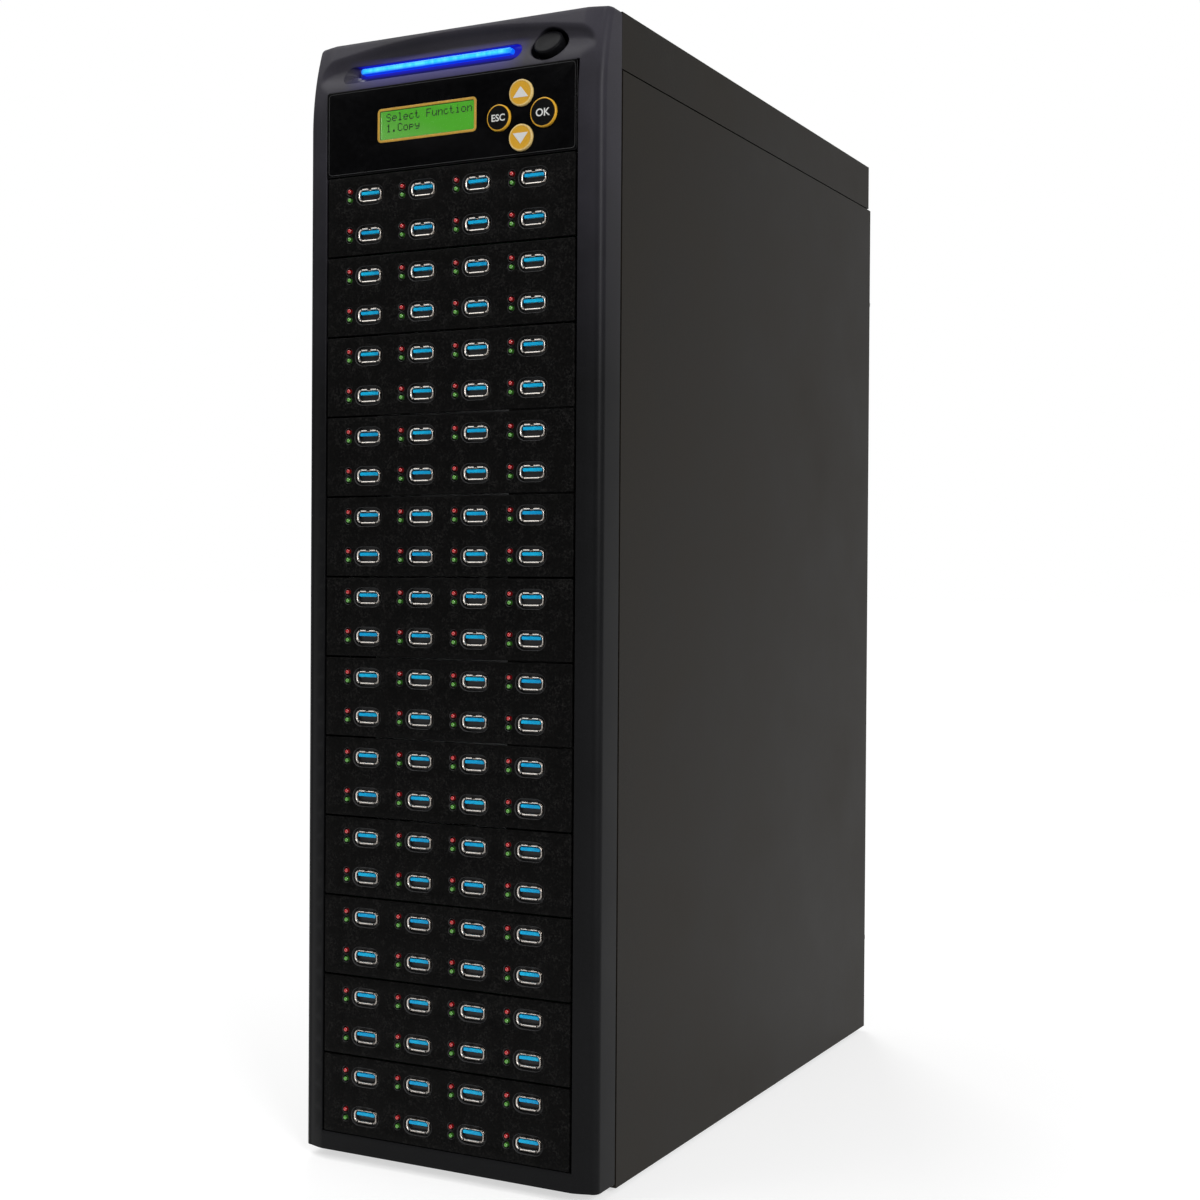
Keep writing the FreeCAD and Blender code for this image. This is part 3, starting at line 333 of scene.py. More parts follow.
def groove_glow():
    """Walls of the groove, painted with the bar's light: deep blue close to the lit bar and at its right
    end, dark elsewhere.
    """
    s = Shade("groove_glow", (0.012, 0.012, 0.015), 0.35)
    # painted light: a blue glow on the walls, strongest next to the bar and at the groove's right end
    beside = s.along("X", STRIP_LOW.x - 3.0, STRIP_LOW.x + 1.0)
    off = s.calc("ABSOLUTE", s.calc("SUBTRACT", s.axis("Z"), BAR_Z * MM))
    near = s.calc("MULTIPLY", s.span(off, 2.4 * MM, 3.9 * MM, 1.0, 0.0), beside)
    end = s.calc("MULTIPLY", s.along("X", STRIP_HIGH.x + 2.0, STRIP_HIGH.x + 6.5),
                 s.along("Z", BAR_Z - 6.0, BAR_Z - 2.0, 0.25, 0.85))
    light = s.calc("MAXIMUM", s.calc("MULTIPLY", near, 0.55), end)
    s.glow((0.010, 0.008, 0.70), s.calc("MAXIMUM", light, s.calc("MULTIPLY", beside, 0.11)))
    s.bump(s.noise(0.5, 2), 0.03, 0.3)


def clear_window():
    s = Shade("clear_window", (0.95, 1.0, 0.95), 0.03, specular=0.4)
    s.put("Transmission Weight", 1.0)
    s.put("IOR", 1.3)
    s.bump(s.noise(20, 2), 0.02, 0.05)


def legend_white():
    s = Shade("legend_white", (0.85, 0.85, 0.83), 0.5)
    s.color(s.tint(s.noise(0.4, 2), 0.3, 0.7, (0.78, 0.78, 0.76), (0.88, 0.88, 0.86)))


powder_coat()
bezel_plastic()
module_face()
panel_gloss()
zinc_steel()
circuit_board()
gold_key()
gold_trim()
lcd_green()
strip_lens()
groove_glow()
clear_window()
legend_white()
plain_plastic("foot_rubber", (0.02, 0.02, 0.02), 0.75, 0.8, 0.08)
plain_plastic("button_plastic", (0.004, 0.004, 0.005), 0.34, 0.6, 0.02, specular=0.04)
plain_plastic("black_plastic", (0.018, 0.018, 0.018), 0.5, 0.6, 0.04)
plain_plastic("black_key", (0.002, 0.002, 0.002), 0.3, 0.6, 0.01, specular=0.15)
plain_plastic("socket_blue", (0.004, 0.46, 1.0), 0.35, 0.5, 0.02, specular=0.3)
plain_plastic("rocker_plastic", (0.014, 0.014, 0.014), 0.28, 0.6, 0.01, 0.2)
plain_plastic("gold_pale", (0.80, 0.55, 0.20), 0.35, 0.6, 0.01, 0.2)
# near-black paint standing in for shade: inside the sockets, behind the gaps round them and in screw
# recesses
plain_plastic("socket_dark", (0.006, 0.006, 0.007), 0.5, 0.5, 0.02)
# paler edge colour: a painted highlight on the rounded edges of the modules' holes and a thin line round
# the control panel
plain_plastic("worn_edge", (0.028, 0.028, 0.029), 0.5, 0.5, 0.02, specular=0.25)
plain_plastic("lcd_ink", (0.003, 0.014, 0.002), 0.6, 0.4, 0.005)
metal("black_screw", (0.05, 0.05, 0.05), 0.42)
metal("plated_screw", (0.62, 0.61, 0.59), 0.3)
metal("socket_steel", (0.66, 0.61, 0.56), 0.38, grain_mm=0.7)
metal("supply_steel", (0.32, 0.32, 0.32), 0.4, brushed=(0.05, 1.0, 1.0))
metal("pin_brass", (0.78, 0.70, 0.48), 0.25)
lens("lamp_red", (0.52, 0.010, 0.014), 0.50)
lens("lamp_green", (0.085, 0.33, 0.025), 0.46)
# darker copies of the lenses for the beads' barrels: painted shade
lens("red_shade", (0.20, 0.004, 0.006), 0.35)
lens("green_shade", (0.03, 0.13, 0.012), 0.35)

SLOTS = {part["node"]: part["material_slot"] for part in frame["record"]["subparts"]}
for node, slot in SLOTS.items():
    paints = NODES[node].data.materials
    paints.clear()
    paints.append(MATS[slot])


# -------- mesh helpers
def linked(name, data):
    """New object in the scene."""
    obj = bpy.data.objects.new(name, data)
    bpy.context.scene.collection.objects.link(obj)
    return obj


def clamp(value, low, high):
    return max(low, min(high, value))


def pairs(loop):
    """Each item of a closed loop with the one after it."""
    return list(zip(loop, loop[1:] + loop[:1]))


def circle(count):
    return [2 * pi * i / count for i in range(count)]


def inside_loop(loop, x, z, grow=0.0):
    """Whether a point lies in a closed loop, or within grow of it."""
    inside = False
    point = Vector((x, z))
    for a, b in pairs(loop):
        if (a.y > z) != (b.y > z) and x < (b.x - a.x) * (z - a.y) / (b.y - a.y) + a.x:
            inside = not inside
        if grow:
            side = b - a
            share = clamp((point - a).dot(side) / max(side.dot(side), 1e-9), 0.0, 1.0)
            if (point - a - side * share).length < grow:
                return True
    return inside


def triangulated(points, loops, mode, holes):
    """Triangles of flat points that keep the loops' edges and leave out the holes. Gives the points made,
    the triangles, and the numbers that each made point had before."""
    edges = [edge for loop in loops for edge in pairs(loop)]
    made, _, tris, originals, _, _ = geometry.delaunay_2d_cdt(points, edges, [], mode, 1e-5)
    kept = []
    for tri in tris:
        x, z = sum(made[i].x for i in tri) / 3, sum(made[i].y for i in tri) / 3
        if not any(inside_loop(hole, x, z) for hole in holes):
            kept.append(tri)
    return made, kept, originals


class Mesh:
    """Gathers points and faces, with a material number for each face."""

    def __init__(self):
        self.verts, self.faces, self.mats, self.flat = [], [], [], []

    def add(self, points):
        start = len(self.verts)
        self.verts.extend(tuple(p) for p in points)
        return list(range(start, len(self.verts)))

    def points(self, ids):
        return [self.verts[i] for i in ids]

    def face(self, ids, mat=0):
        self.faces.append(tuple(ids))
        self.mats.append(mat)

    def strip(self, first, second, mat=0):
        """Band of faces between two loops of vertex numbers."""
        for (a, b), (c, d) in zip(pairs(first), pairs(second)):
            self.face((a, b, d, c), mat)

    def walls(self, last, rows, mat=0):
        """Bands from a loop of vertex numbers through rows of points; gives the last row's numbers."""
        for row in rows:
            made = self.add(row)
            self.strip(last, made, mat)
            last = made
        return last

    def rings(self, rows, mat=0):
        """Bands through rows of points; gives the first and last rows' numbers."""
        first = self.add(rows[0])
        return first, self.walls(first, rows[1:], mat)

    def cup(self, rows, mat=0):
        """Bands through rows of points, closed at the last row; gives the first row's numbers."""
        first, last = self.rings(rows, mat)
        self.fill([last], mat)
        return first

    def fill(self, rows, mat=0):
        """Flat face with holes; rows are loops of vertex numbers, the outer one first."""
        ids = [i for row in rows for i in row]
        points = [Vector(self.verts[i][::2]) for i in ids]
        loops, start = [], 0
        for row in rows:
            loops.append(list(range(start, start + len(row))))
            start += len(row)
        holes = [[points[i] for i in loop] for loop in loops[1:]]
        _, tris, originals = triangulated(points, loops, 1, holes)
        for tri in tris:
            self.flat.append(len(self.faces))
            self.face([ids[originals[i][0]] for i in tri], mat)

    def join(self, other, dx, dz):
        """Adds another mesh, moved."""
        start = len(self.verts)
        self.flat += [len(self.faces) + i for i in other.flat]
        self.verts += [(x + dx, y, z + dz) for x, y, z in other.verts]
        self.faces += [tuple(i + start for i in face) for face in other.faces]
        self.mats += other.mats

    def slab(self, x, y, z, mat=0):
        """Box between low and high values."""
        corners = self.add([(a, b, c) for a in x for b in y for c in z])
        for ids in ((0, 1, 3, 2), (4, 6, 7, 5), (0, 4, 5, 1), (2, 3, 7, 6), (0, 2, 6, 4), (1, 5, 7, 3)):
            self.face([corners[i] for i in ids], mat)

    def piece(self, name, paints, node=None, body="tower", slot=None, smooth=35.0):
        """Object of this mesh, which rides on a body and replaces a CAD node. Its slot, the name of its
        first material where no other is given, is worked out but not used."""
        mesh = bpy.data.meshes.new(name)
        mesh.from_pydata([(x * MM, y * MM, z * MM) for x, y, z in self.verts], [], self.faces)
        paints = paints.split()
        for paint in paints:
            mesh.materials.append(MATS[paint])
        mesh.polygons.foreach_set("material_index", self.mats)
        level = set(self.flat)
        rounds = [bool(smooth) and i not in level for i in range(len(self.faces))]
        mesh.polygons.foreach_set("use_smooth", rounds)
        bm = bmesh.new()
        bm.from_mesh(mesh)
        bmesh.ops.remove_doubles(bm, verts=bm.verts, dist=1e-7)
        bmesh.ops.recalc_face_normals(bm, faces=bm.faces)
        bm.to_mesh(mesh)
        bm.free()
        mesh.update()
        obj = linked(name, mesh)
        if smooth:
            mesh.set_sharp_from_angle(angle=radians(smooth))
        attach(obj, body)
        slot = slot or paints[0]
        if node:
            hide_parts(node)


def grown(size, by):
    cx, cz, w, h, r = size
    return cx, cz, w + 2 * by, h + 2 * by, r + by


def rounded(cx, cz, w, h, r, steps=6):
    """Points (x, z) round a rounded rectangle, anticlockwise seen from the front."""
    r = clamp(r, 0.01, min(w / 2, h / 2))
    points = []
    for k, (sx, sz) in enumerate(((1, 1), (-1, 1), (-1, -1), (1, -1))):
        for i in range(steps + 1):
            a = pi / 2 * (k + i / steps)
            points.append((cx + sx * (w / 2 - r) + r * cos(a), cz + sz * (h / 2 - r) + r * sin(a)))
    return points


def bent(a, corner, b, t):
    """Point at share t of the bend from a to b round a corner."""
    return a * (1 - t) ** 2 + corner * (2 * t * (1 - t)) + b * t * t


def at_y(points, y):
    return [(x, y, z) for x, z in points]


def edge_steps(edge, count=3):
    """Inset and depth of each loop of a rounded edge."""
    turns = [pi / 2 * i / count for i in range(count + 1)]
    return [(edge * (1 - sin(a)), edge * (1 - cos(a))) for a in turns]


def shape(size, steps=6):
    """Function that gives a rounded rectangle's points, grown as far as it is told."""
    return lambda grow: rounded(*grown(size, grow), steps)


def pierced(outer, holes, face, back, edge, hole_edge, hole_mat=0, count=3):
    """Flat plate with a rounded face edge; outline and holes are functions of how far they are grown."""
    mesh = Mesh()
    inward = copysign(1, back - face)
    edges = [(outer, -1, edge, 0)] + [(hole, 1, hole_edge, hole_mat) for hole in holes]
    ends = []
    for make, sign, size, mat in edges:
        rows = [at_y(make(sign * inset), face + inward * depth) for inset, depth in edge_steps(size, count)]
        ends.append(mesh.rings(rows + [at_y(make(0.0), back)], mat))
    for side in zip(*ends):
        mesh.fill(side)
    return mesh


def plate(outer, holes, front, back, edge, hole_edge=0.0, hole_mat=0):
    """Flat plate that faces forwards, from rounded rectangles."""
    return pierced(shape(outer), [shape(hole) for hole in holes], front, back, edge, hole_edge, hole_mat)


def turned(mesh, profile, sides, centre, axis=BACKWARD, mat=0, start=True, end=True):
    """Turned form of (radius, height) pairs along an axis; start and end say which ends are closed."""
    u = Vector(RIGHTWARD)
    v = Vector(axis).cross(u)
    rows = [[Vector(centre) + Vector(axis) * height + u * (radius * cos(a)) + v * (radius * sin(a))
             for a in circle(sides)] for radius, height in profile]
    first, last = mesh.rings(rows, mat)
    if start:
        mesh.face(first, mat)
    if end:
        mesh.face(last, mat)


# -------- front bezel
CREASE = HALF_W - 3.8  # here the front turns into the rounded side
SIDE_W, SIDE_DEPTH, SIDE_RUN = 3.8, 4.2, 6.4  # that rounding's width, depth and length
FALL = 2.6  # setback from the opening's edge to the crease
LEAN_H, LEAN_R = 48.0, 137.0  # the top leans back on an arc
LEAN_Z = BEZEL_TOP - LEAN_H
CROWN = 2.4  # rounding of the top edge
CROWN_Z = BEZEL_TOP - CROWN
BEZEL_WALL, INSIDE_DEPTH, HALFWAY_Z = 2.4, 9.0, 300.0
TILT = radians(34.0)  # the hollow's floor, from the vertical
FLOOR_DIR = Vector((0, sin(TILT), cos(TILT)))
FLOOR_OUT = Vector((0, -cos(TILT), sin(TILT)))
WALL_SLOPE = tan(radians(55.0))  # its upper wall
ARCH_HALF, ARCH_R, SHOULDER_R = HALF_W - 3.6, 397.0, 14.0
ARCH_Z = BEZEL_TOP - 3.0 - ARCH_R  # centre of the arch that ends the hollow
SHOULDER_X = ARCH_HALF - SHOULDER_R
SHOULDER_Z = ARCH_Z + sqrt((ARCH_R - SHOULDER_R) ** 2 - SHOULDER_X ** 2)
LIP = 0.55  # rounded lip of the groove and the well
GROOVE = (-14.6, BROW_Z + 9.6, 108.0, 9.8, 4.9)
GROOVE_BACK = 13.5
SEAT = Vector((55.6, FACE_Y, BROW_Z)) + FLOOR_DIR * 13.0  # the button's place on the floor
WELL_R, WELL_SIDES = 10.5, 56
# radius and depth of each ring of the well below its lip
WELL_STEPS = ((10.5, 0.6), (10.5, 5.8), (10.35, 6.15), (10.0, 6.3), (3.9, 6.3), (3.9, 10.3))


def soft_min(a, b, width):
    h = max(width - abs(a - b), 0.0) / width
    return min(a, b) - h * h * width / 4


def plan_point(s):
    """Point (x, y) of the plan section at distance s from the middle."""
    side, s = copysign(1, s), abs(s)
    if s <= CREASE:
        return side * s, FALL * (max(0.0, s - OPEN_HALF) / (CREASE - OPEN_HALF)) ** 1.25
    a = min((s - CREASE) / SIDE_RUN, 1.0) * pi / 2
    return side * (CREASE + SIDE_W * sin(a)), FALL + SIDE_DEPTH * (1 - cos(a))


def rise_point(t):
    """Height and setback at distance t along the profile."""
    z = min(t, CROWN_Z)
    back = LEAN_R - sqrt(LEAN_R ** 2 - max(0.0, z - LEAN_Z) ** 2)
    if t <= CROWN_Z:
        return z, back
    a = min((t - CROWN_Z) / (1.6 * CROWN), 1.0) * pi / 2
    turn = 1 - cos(a) + LEAN_H / LEAN_R * sin(a) * (1 - sin(a) / 2)
    return CROWN_Z + CROWN * sin(a), back + CROWN * turn


def arch_depth(x, z):
    """How far the hollow's upper wall lies behind the outer surface: its slope grows towards the sides."""
    x = abs(x)
    past, above = x - SHOULDER_X, z - SHOULDER_Z
    if above < 0:
        distance, side = ARCH_HALF - x, 1.0
    elif past > 0 and past * (SHOULDER_Z - ARCH_Z) > above * SHOULDER_X:
        reach = hypot(past, above)
        distance, side = SHOULDER_R - reach, (past / reach) ** 2
    else:
        reach = hypot(x, z - ARCH_Z)
        distance, side = ARCH_R - reach, (x / reach) ** 2
    return distance * (WALL_SLOPE + 1.2 * side)


def front_point(s, t):
    """Point of the bezel's front for the distances along its plan and its profile."""
    x, plan = plan_point(s)
    z, back = rise_point(t)
    depth = outer = plan + back
    if z > BROW_Z - 0.5:
        hollow = soft_min((z - BROW_Z) * tan(TILT), outer + arch_depth(x, z), 9.0)
        depth = -soft_min(-outer, -hollow, 1.8)
    if z > CROWN_Z:
        drop = CROWN - sqrt(max(CROWN ** 2 - (z - CROWN_Z) ** 2, 0.0))
        x -= copysign(drop * max(0.0, (abs(x) - HALF_W + 5.0) / 5.0) ** 2, x)
    return Vector((x, FACE_Y + depth, z))


def on_surface(x, z, deeper=0.0):
    return Vector((x, front_point(x, z).y + deeper, z))


def spread(stops, steps):
    """Values through the stops, each stretch divided by its own step."""
    values = set()
    for low, high, step in zip(stops, stops[1:], steps):
        count = max(1, round((high - low) / step))
        values.update(round(low + (high - low) * i / count, 4) for i in range(count + 1))
    return sorted(values)


def dense(loop, step):
    """Loop of (x, z) points with its long stretches divided and its double points left out."""
    made = []
    for (ax, az), (bx, bz) in pairs(loop):
        length = hypot(bx - ax, bz - az)
        if length > 1e-4:
            count = max(1, round(length / step))
            made += [(ax + (bx - ax) * i / count, az + (bz - az) * i / count) for i in range(count)]
    return made


def curve(start, corner, end):
    """Rows of points that lead from one row to another, rounded at the corner between them."""
    return [[bent(*map(Vector, ends), t) for ends in zip(start, corner, end)] for t in (1 / 3, 2 / 3, 1.0)]


def well_ring(radius, depth=0.0):
    """Circle round the button's axis, at a depth below its seat."""
    centre = SEAT - FLOOR_OUT * depth
    return [centre + Vector((radius * cos(a), 0, 0)) + FLOOR_DIR * (radius * sin(a))
            for a in circle(WELL_SIDES)]


def bezel_skin(mesh):
    """Front with its openings left out; gives the border and the rims of opening, groove and well."""
    side = CREASE + SIDE_RUN
    across = spread((-side, -CREASE, -OPEN_HALF, OPEN_HALF, CREASE, side), (0.6, 0.7, 0.9, 0.7, 0.6))
    up = spread((BEZEL_LOW.z, OPEN_Z, LEAN_Z, BROW_Z, CROWN_Z, BEZEL_TOP + 0.6 * CROWN),
                (2.0, 12.0, 1.5, 0.7, 0.5))
    border = ([(s, up[0]) for s in across[:-1]] + [(across[-1], t) for t in up[:-1]]
              + [(s, up[-1]) for s in across[:0:-1]] + [(across[0], t) for t in up[:0:-1]])
    opening = rounded(0, (OPEN_Z + BROW_Z) / 2, 2 * OPEN_HALF + 0.7, BROW_Z - OPEN_Z + 0.7, 1.0, 4)
    well = [on_surface(p.x, p.z) for p in well_ring(WELL_R + LIP)]
    groove = rounded(*grown(GROOVE, LIP), 14)
    points, loops = [], []
    for loop in (border, dense(opening, 6.0), dense(groove, 1.0), [p.xz for p in well]):
        loops.append(list(range(len(points), len(points) + len(loop))))
        points += [Vector(p) for p in loop]
    holes = [[points[i] for i in loop] for loop in loops[1:]]

    def near_hole(s, t):
        if abs(s) < OPEN_HALF + 0.6 and OPEN_Z - 0.6 < t < BROW_Z + 0.6:
            return True
        cx, cz, w, _, r = grown(GROOVE, LIP + 0.3)
        if hypot(max(0.0, abs(s - cx) - (w / 2 - r)), t - cz) < r:
            return True
        dx, dz = s - SEAT.x, t - SEAT.z
        if hypot(dx / (WELL_R + 0.9), dz / (WELL_R * 0.9 + 0.9)) < 1.0:
            return True
        return max(abs(dx), abs(dz)) < WELL_R + 2.5 and inside_loop(holes[2], s, t, 0.35)

    points += [Vector((s, t)) for s in across[1:-1] for t in up[1:-1] if not near_hole(s, t)]
    made, tris, originals = triangulated(points, loops, 0, holes)
    place = {old: new for new, olds in enumerate(originals) for old in olds}
    rim = {place[i]: point for i, point in zip(loops[3], well)}
    mesh.add(rim.get(i) or front_point(*p) for i, p in enumerate(made))
    for tri in tris:
        mesh.face(tri)
    return [[place[i] for i in loop] for loop in loops]


def bezel_back(mesh, border):
    """Sides, the edge at the back, and the start of the inside."""
    points = mesh.points(border)
    inner = [(x * (1 - BEZEL_WALL / HALF_W), BEZEL_BACK, z + copysign(BEZEL_WALL, HALFWAY_Z - z))
             for x, _, z in points]
    mesh.walls(border, ([(x, BEZEL_BACK, z) for x, _, z in points], inner,
                        [(x, y - INSIDE_DEPTH, z) for x, y, z in inner]))


def opening_walls(mesh, rim):
    points = mesh.points(rim)
    edge = [(clamp(x, -OPEN_HALF, OPEN_HALF), y, clamp(z, OPEN_Z, BROW_Z)) for x, y, z in points]
    rows = curve(points, edge, [(x, y + 0.5, z) for x, y, z in edge])
    mesh.walls(rim, rows + [[(x, BEZEL_BACK, z) for x, _, z in edge]])


def groove_walls(mesh, rim):
    """Wall and floor of the groove. Its left end rises to the rim as a scoop, the rest takes the painted
    blue light of the bar.
    """
    mid_x, mid_z, w, h, r = GROOVE
    start = mid_x - w / 2

    def inset(x, z, by):
        cx = mid_x + clamp(x - mid_x, r - w / 2, w / 2 - r)
        away = Vector((x - cx, z - mid_z)).normalized() * (h / 2 - by)
        return cx + away.x, mid_z + away.y

    points = mesh.points(rim)
    wall = [inset(x, z, 0.0) for x, _, z in points]
    edge = [on_surface(x, z) for x, z in wall]
    last = mesh.walls(rim, curve(points, edge, [on_surface(x, z, LIP) for x, z in wall]))
    for by, short in ((0.02, 1.0), (0.3, 0.3), (1.0, 0.0), (2.0, 0.0), (3.2, 0.0), (4.4, 0.0)):
        row = []
        for (x, z), top in zip(wall, edge):
            px, pz = inset(x, z, by)
            start_y = top.y + LIP
            full = FACE_Y + GROOVE_BACK - short - start_y
            share = clamp((px - start - 2.0) / (STRIP_LOW.x + 0.5 - start), 0.0, 1.0)
            ramp = share * share * (3 - 2 * share)
            bowl = 1 - (1 - by / (h / 2)) ** 2
            row.append((px, start_y + full * ramp + min(full, 3.2) * bowl * (1 - ramp), pz))
        made = mesh.add(row)
        for (a, b), (c, d) in zip(pairs(last), pairs(made)):
            # faces from the bar's left end on take the groove's painted blue light
            lit = sum(x for x, _, _ in mesh.points((a, b, c, d))) / 4 > STRIP_LOW.x - 1.5
            mesh.face((a, b, d, c), 1 if lit else 0)
        last = made
    mesh.fill([last], 1)


def well_walls(mesh, rim):
    """Lip, wall and floor of the button's well, and the hole that its stem goes through."""
    circle_xz = [(p.x, p.z) for p in well_ring(WELL_R)]
    edge = [on_surface(x, z) for x, z in circle_xz]
    deep = [on_surface(x, z, LIP) for x, z in circle_xz]
    mesh.walls(rim, curve(mesh.points(rim), edge, deep) + [well_ring(*step) for step in WELL_STEPS])


def bezel():
    mesh = Mesh()
    border, opening, groove, well = bezel_skin(mesh)
    bezel_back(mesh, border)
    opening_walls(mesh, opening)
    groove_walls(mesh, groove)
    well_walls(mesh, well)
    mesh.piece("bezel_shell", "bezel_plastic groove_glow", "front_bezel", smooth=40)


def light_strip():
    h = STRIP_HIGH.z - STRIP_LOW.z
    size = ((STRIP_LOW.x + STRIP_HIGH.x) / 2, BAR_Z, STRIP_HIGH.x - STRIP_LOW.x, h, h / 2)
    mesh = plate(size, [], STRIP_LOW.y - BAR_FORWARD, STRIP_HIGH.y, 0.8)
    mesh.piece("lit_bar", "strip_lens", "light_strip")


def power_cap():
    """Cap with a dished top and rounded edge, on its stem."""
    profile = [(3.6, -6.9), (3.6, -0.4), (6.8, -0.4), (7.55, 0.0), (7.85, 0.4), (7.85, 4.9), (7.78, 5.3),
               (7.55, 5.65), (7.1, 5.88), (6.5, 5.95), (5.6, 5.86), (4.0, 5.68), (2.0, 5.56), (0.5, 5.53)]
    mesh = Mesh()
    turned(mesh, profile, WELL_SIDES, SEAT - FLOOR_OUT * 3.4, FLOOR_OUT)
    mesh.piece("power_cap", "button_plastic", "power_button", "power_button", smooth=50)


bezel()
light_strip()
power_cap()


# -------- port modules
MOUTH = (17.2, 9.9, 4.7)  # hole round a socket: width, height, corner
LAMP_HOLE = (3.9, 3.9, 1.95)
SHELL_W, SHELL_H, SHELL_T = 12.5, 5.12, 0.3
TAB_R, TAB_TURN = 1.9, radians(68)
TONGUE_W, TONGUE_H, TONGUE_Z = 11.1, 1.84, 1.1
BEAD_R = 1.15


def port_places(low, high):
    z = (low.z + high.z) / 2
    return [(x, z + side * SOCKET_ROW / 2) for side in (-1, 1) for x in PORT_COLUMNS]


def ears(mesh, low, high, half):
    """Side ears behind a face plate."""
    for side in (-1, 1):
        x = sorted((side * (half - EAR_T), side * half))
        mesh.slab(x, (low.y + FACE_T, high.y), (low.z + 0.5, high.z - 0.5))


def module_plates():
    """Face, ears, and a dark sheet of painted shade that closes the gaps round the sockets; the holes'
    rounded edges take a painted highlight.
    """
    for number, (low, high) in enumerate(BAYS, 1):
        places = port_places(low, high)
        holes = [(x, z, *MOUTH) for x, z in places]
        holes += [(x + LAMP_LEFT, z + rise, *LAMP_HOLE) for x, z in places for rise in LAMP_RISE.values()]
        mesh = plate(outline(low, high, 0.6), holes, low.y, low.y + FACE_T, 0.35, 0.22, 1)
        ears(mesh, low, high, high.x)
        mesh.slab((low.x + 1.5, high.x - 1.5), (low.y + 2.6, low.y + 3.0), (low.z + 0.6, high.z - 0.6), 2)
        mesh.piece("module_plate_%02d" % number, "module_face worn_edge socket_dark",
                   "port_faceplate_%02d" % number)


def socket_shell():
    """One socket: a steel shell whose mouth flares into five tabs, with painted shade on its inside."""
    mesh = Mesh()
    neck, back = FACE_Y + 1.3, SHELLS_HIGH.y
    inner = rounded(0, 0, SHELL_W, SHELL_H, 0.7, 3)
    outer = rounded(0, 0, SHELL_W + 2 * SHELL_T, SHELL_H + 2 * SHELL_T, 1.0, 3)
    # the inside takes the dark material: painted shade
    inner_neck = mesh.cup([at_y(inner, neck), at_y(inner, back - 0.4)], 1)
    mesh.strip(inner_neck, mesh.cup([at_y(outer, neck), at_y(outer, back)]))
    flare = [(0.0, 1.3), (0.02, 0.75), (0.16, 0.32), (0.4, 0.08), (0.62, 0.0), (0.76, 0.1),
             (0.75, 0.3), (0.64, 0.36), (0.46, 0.42), (0.34, 0.7), (0.3, 1.3)]

    def tab(path):
        """Flared tab along a path of points with their outward directions."""
        first, last = mesh.rings([[(x + nx * out, FACE_Y + y, z + nz * out) for out, y in flare]
                                  for x, z, nx, nz in path])
        mesh.face(first)
        mesh.face(last[::-1])

    top, side = SHELL_H / 2, SHELL_W / 2
    for start in (-4.6, 1.1):
        tab([(start + 3.5 * i / 4, top, 0, 1) for i in range(5)])
    tab([(-4.4 + 8.8 * i / 6, -top, 0, -1) for i in range(7)])
    for sign in (-1, 1):
        path = []
        for i in range(-6, 7):
            a = TAB_TURN * i / 6
            rise = copysign(top - TAB_R, i) if i else 0.0
            path.append((sign * (side - TAB_R + TAB_R * cos(a)), rise + TAB_R * sin(a),
                         sign * cos(a), sin(a)))
        tab(path)
    return mesh


def socket_tongue():
    """Blue tongue with a rounded, slightly bowed end, and its four contacts."""
    mesh = Mesh()
    front, back, z = FACE_Y + 0.4, SHELLS_HIGH.y - 0.4, TONGUE_Z
    rows = []
    for inset, depth in edge_steps(0.22):
        loop = rounded(0, z, TONGUE_W - 2 * inset, TONGUE_H - 2 * inset, 0.35, 3)
        rows.append([(px, front + depth + 0.5 * abs(pz - z) ** 1.5, pz) for px, pz in loop])
    mesh.fill([mesh.cup(rows + [at_y(rounded(0, z, TONGUE_W, TONGUE_H, 0.35, 3), back)])])
    for x in (-3.5, -1.0, 1.0, 3.5):
        mesh.slab((x - 0.55, x + 0.55), (front + 1.2, front + 8.0), (z - 0.97, z - 0.91), 1)
    return mesh


def bead():
    """Lens of a lamp: a round bead on a short barrel, with painted shade on the barrel."""
    mesh = Mesh()
    dome = [(BEAD_R * cos(a), -0.85 * sin(a)) for a in (pi / 2 * i / 7 for i in range(1, 7))]
    centre = (0, FACE_Y, 0)
    turned(mesh, [(BEAD_R, 1.9), (BEAD_R, 0.0)] + dome[:3], 20, centre, mat=1, end=False)
    turned(mesh, dome[2:], 20, centre, start=False)
    return mesh


def at_all_ports(part, dx=0.0, dz=0.0):
    whole = Mesh()
    for low, high in BAYS:
        for x, z in port_places(low, high):
            whole.join(part, x + dx, z + dz)
    return whole


module_plates()
at_all_ports(socket_shell()).piece("socket_shells", "socket_steel socket_dark", "usb_shells", smooth=45)
at_all_ports(socket_tongue()).piece("socket_tongues", "socket_blue pin_brass", "usb_tongues")
for color, rise in LAMP_RISE.items():
    beads = at_all_ports(bead(), LAMP_LEFT, rise)
    beads.piece(color + "_beads", "lamp_%s %s_shade" % (color, color), color + "_leds", smooth=60)


# -------- control panel
WINDOW = outline(LCD_LOW, LCD_HIGH, 0.9, 0.3)
PANEL_HALF = 74.3  # outside of the panel's ears
GLYPHS = {  # seven rows of five dots for each letter, two hexadecimal digits a row
    "S": "0E11100E01110E", "e": "00000E111F100E", "l": "0C04040404040E", "c": "00000E1010110E",
    "t": "08081C08080906", "F": "1F10101E101010", "u": "0000111111130D", "n": "00001619111111",
    "i": "04000C0404040E", "o": "00000E1111110E", "1": "040C040404040E", ".": "00000000000C0C",
    "C": "0E11101010110E", "p": "00001E111E1010", "y": "000011110F010E", " ": "00000000000000",
}
LINES = ("Select Function", "1.Copy")
DOT_W, DOT_H, LETTER_STEP, LINE_STEP = 0.58, 0.6, 3.52, 5.5
TEXT_LEFT, TEXT_TOP, TEXT_Y = LCD_LOW.x + 3.4, LCD_HIGH.z - 1.15, FACE_Y + 0.74
ARROW_HALF, ARROW_H = 4.4, 5.5


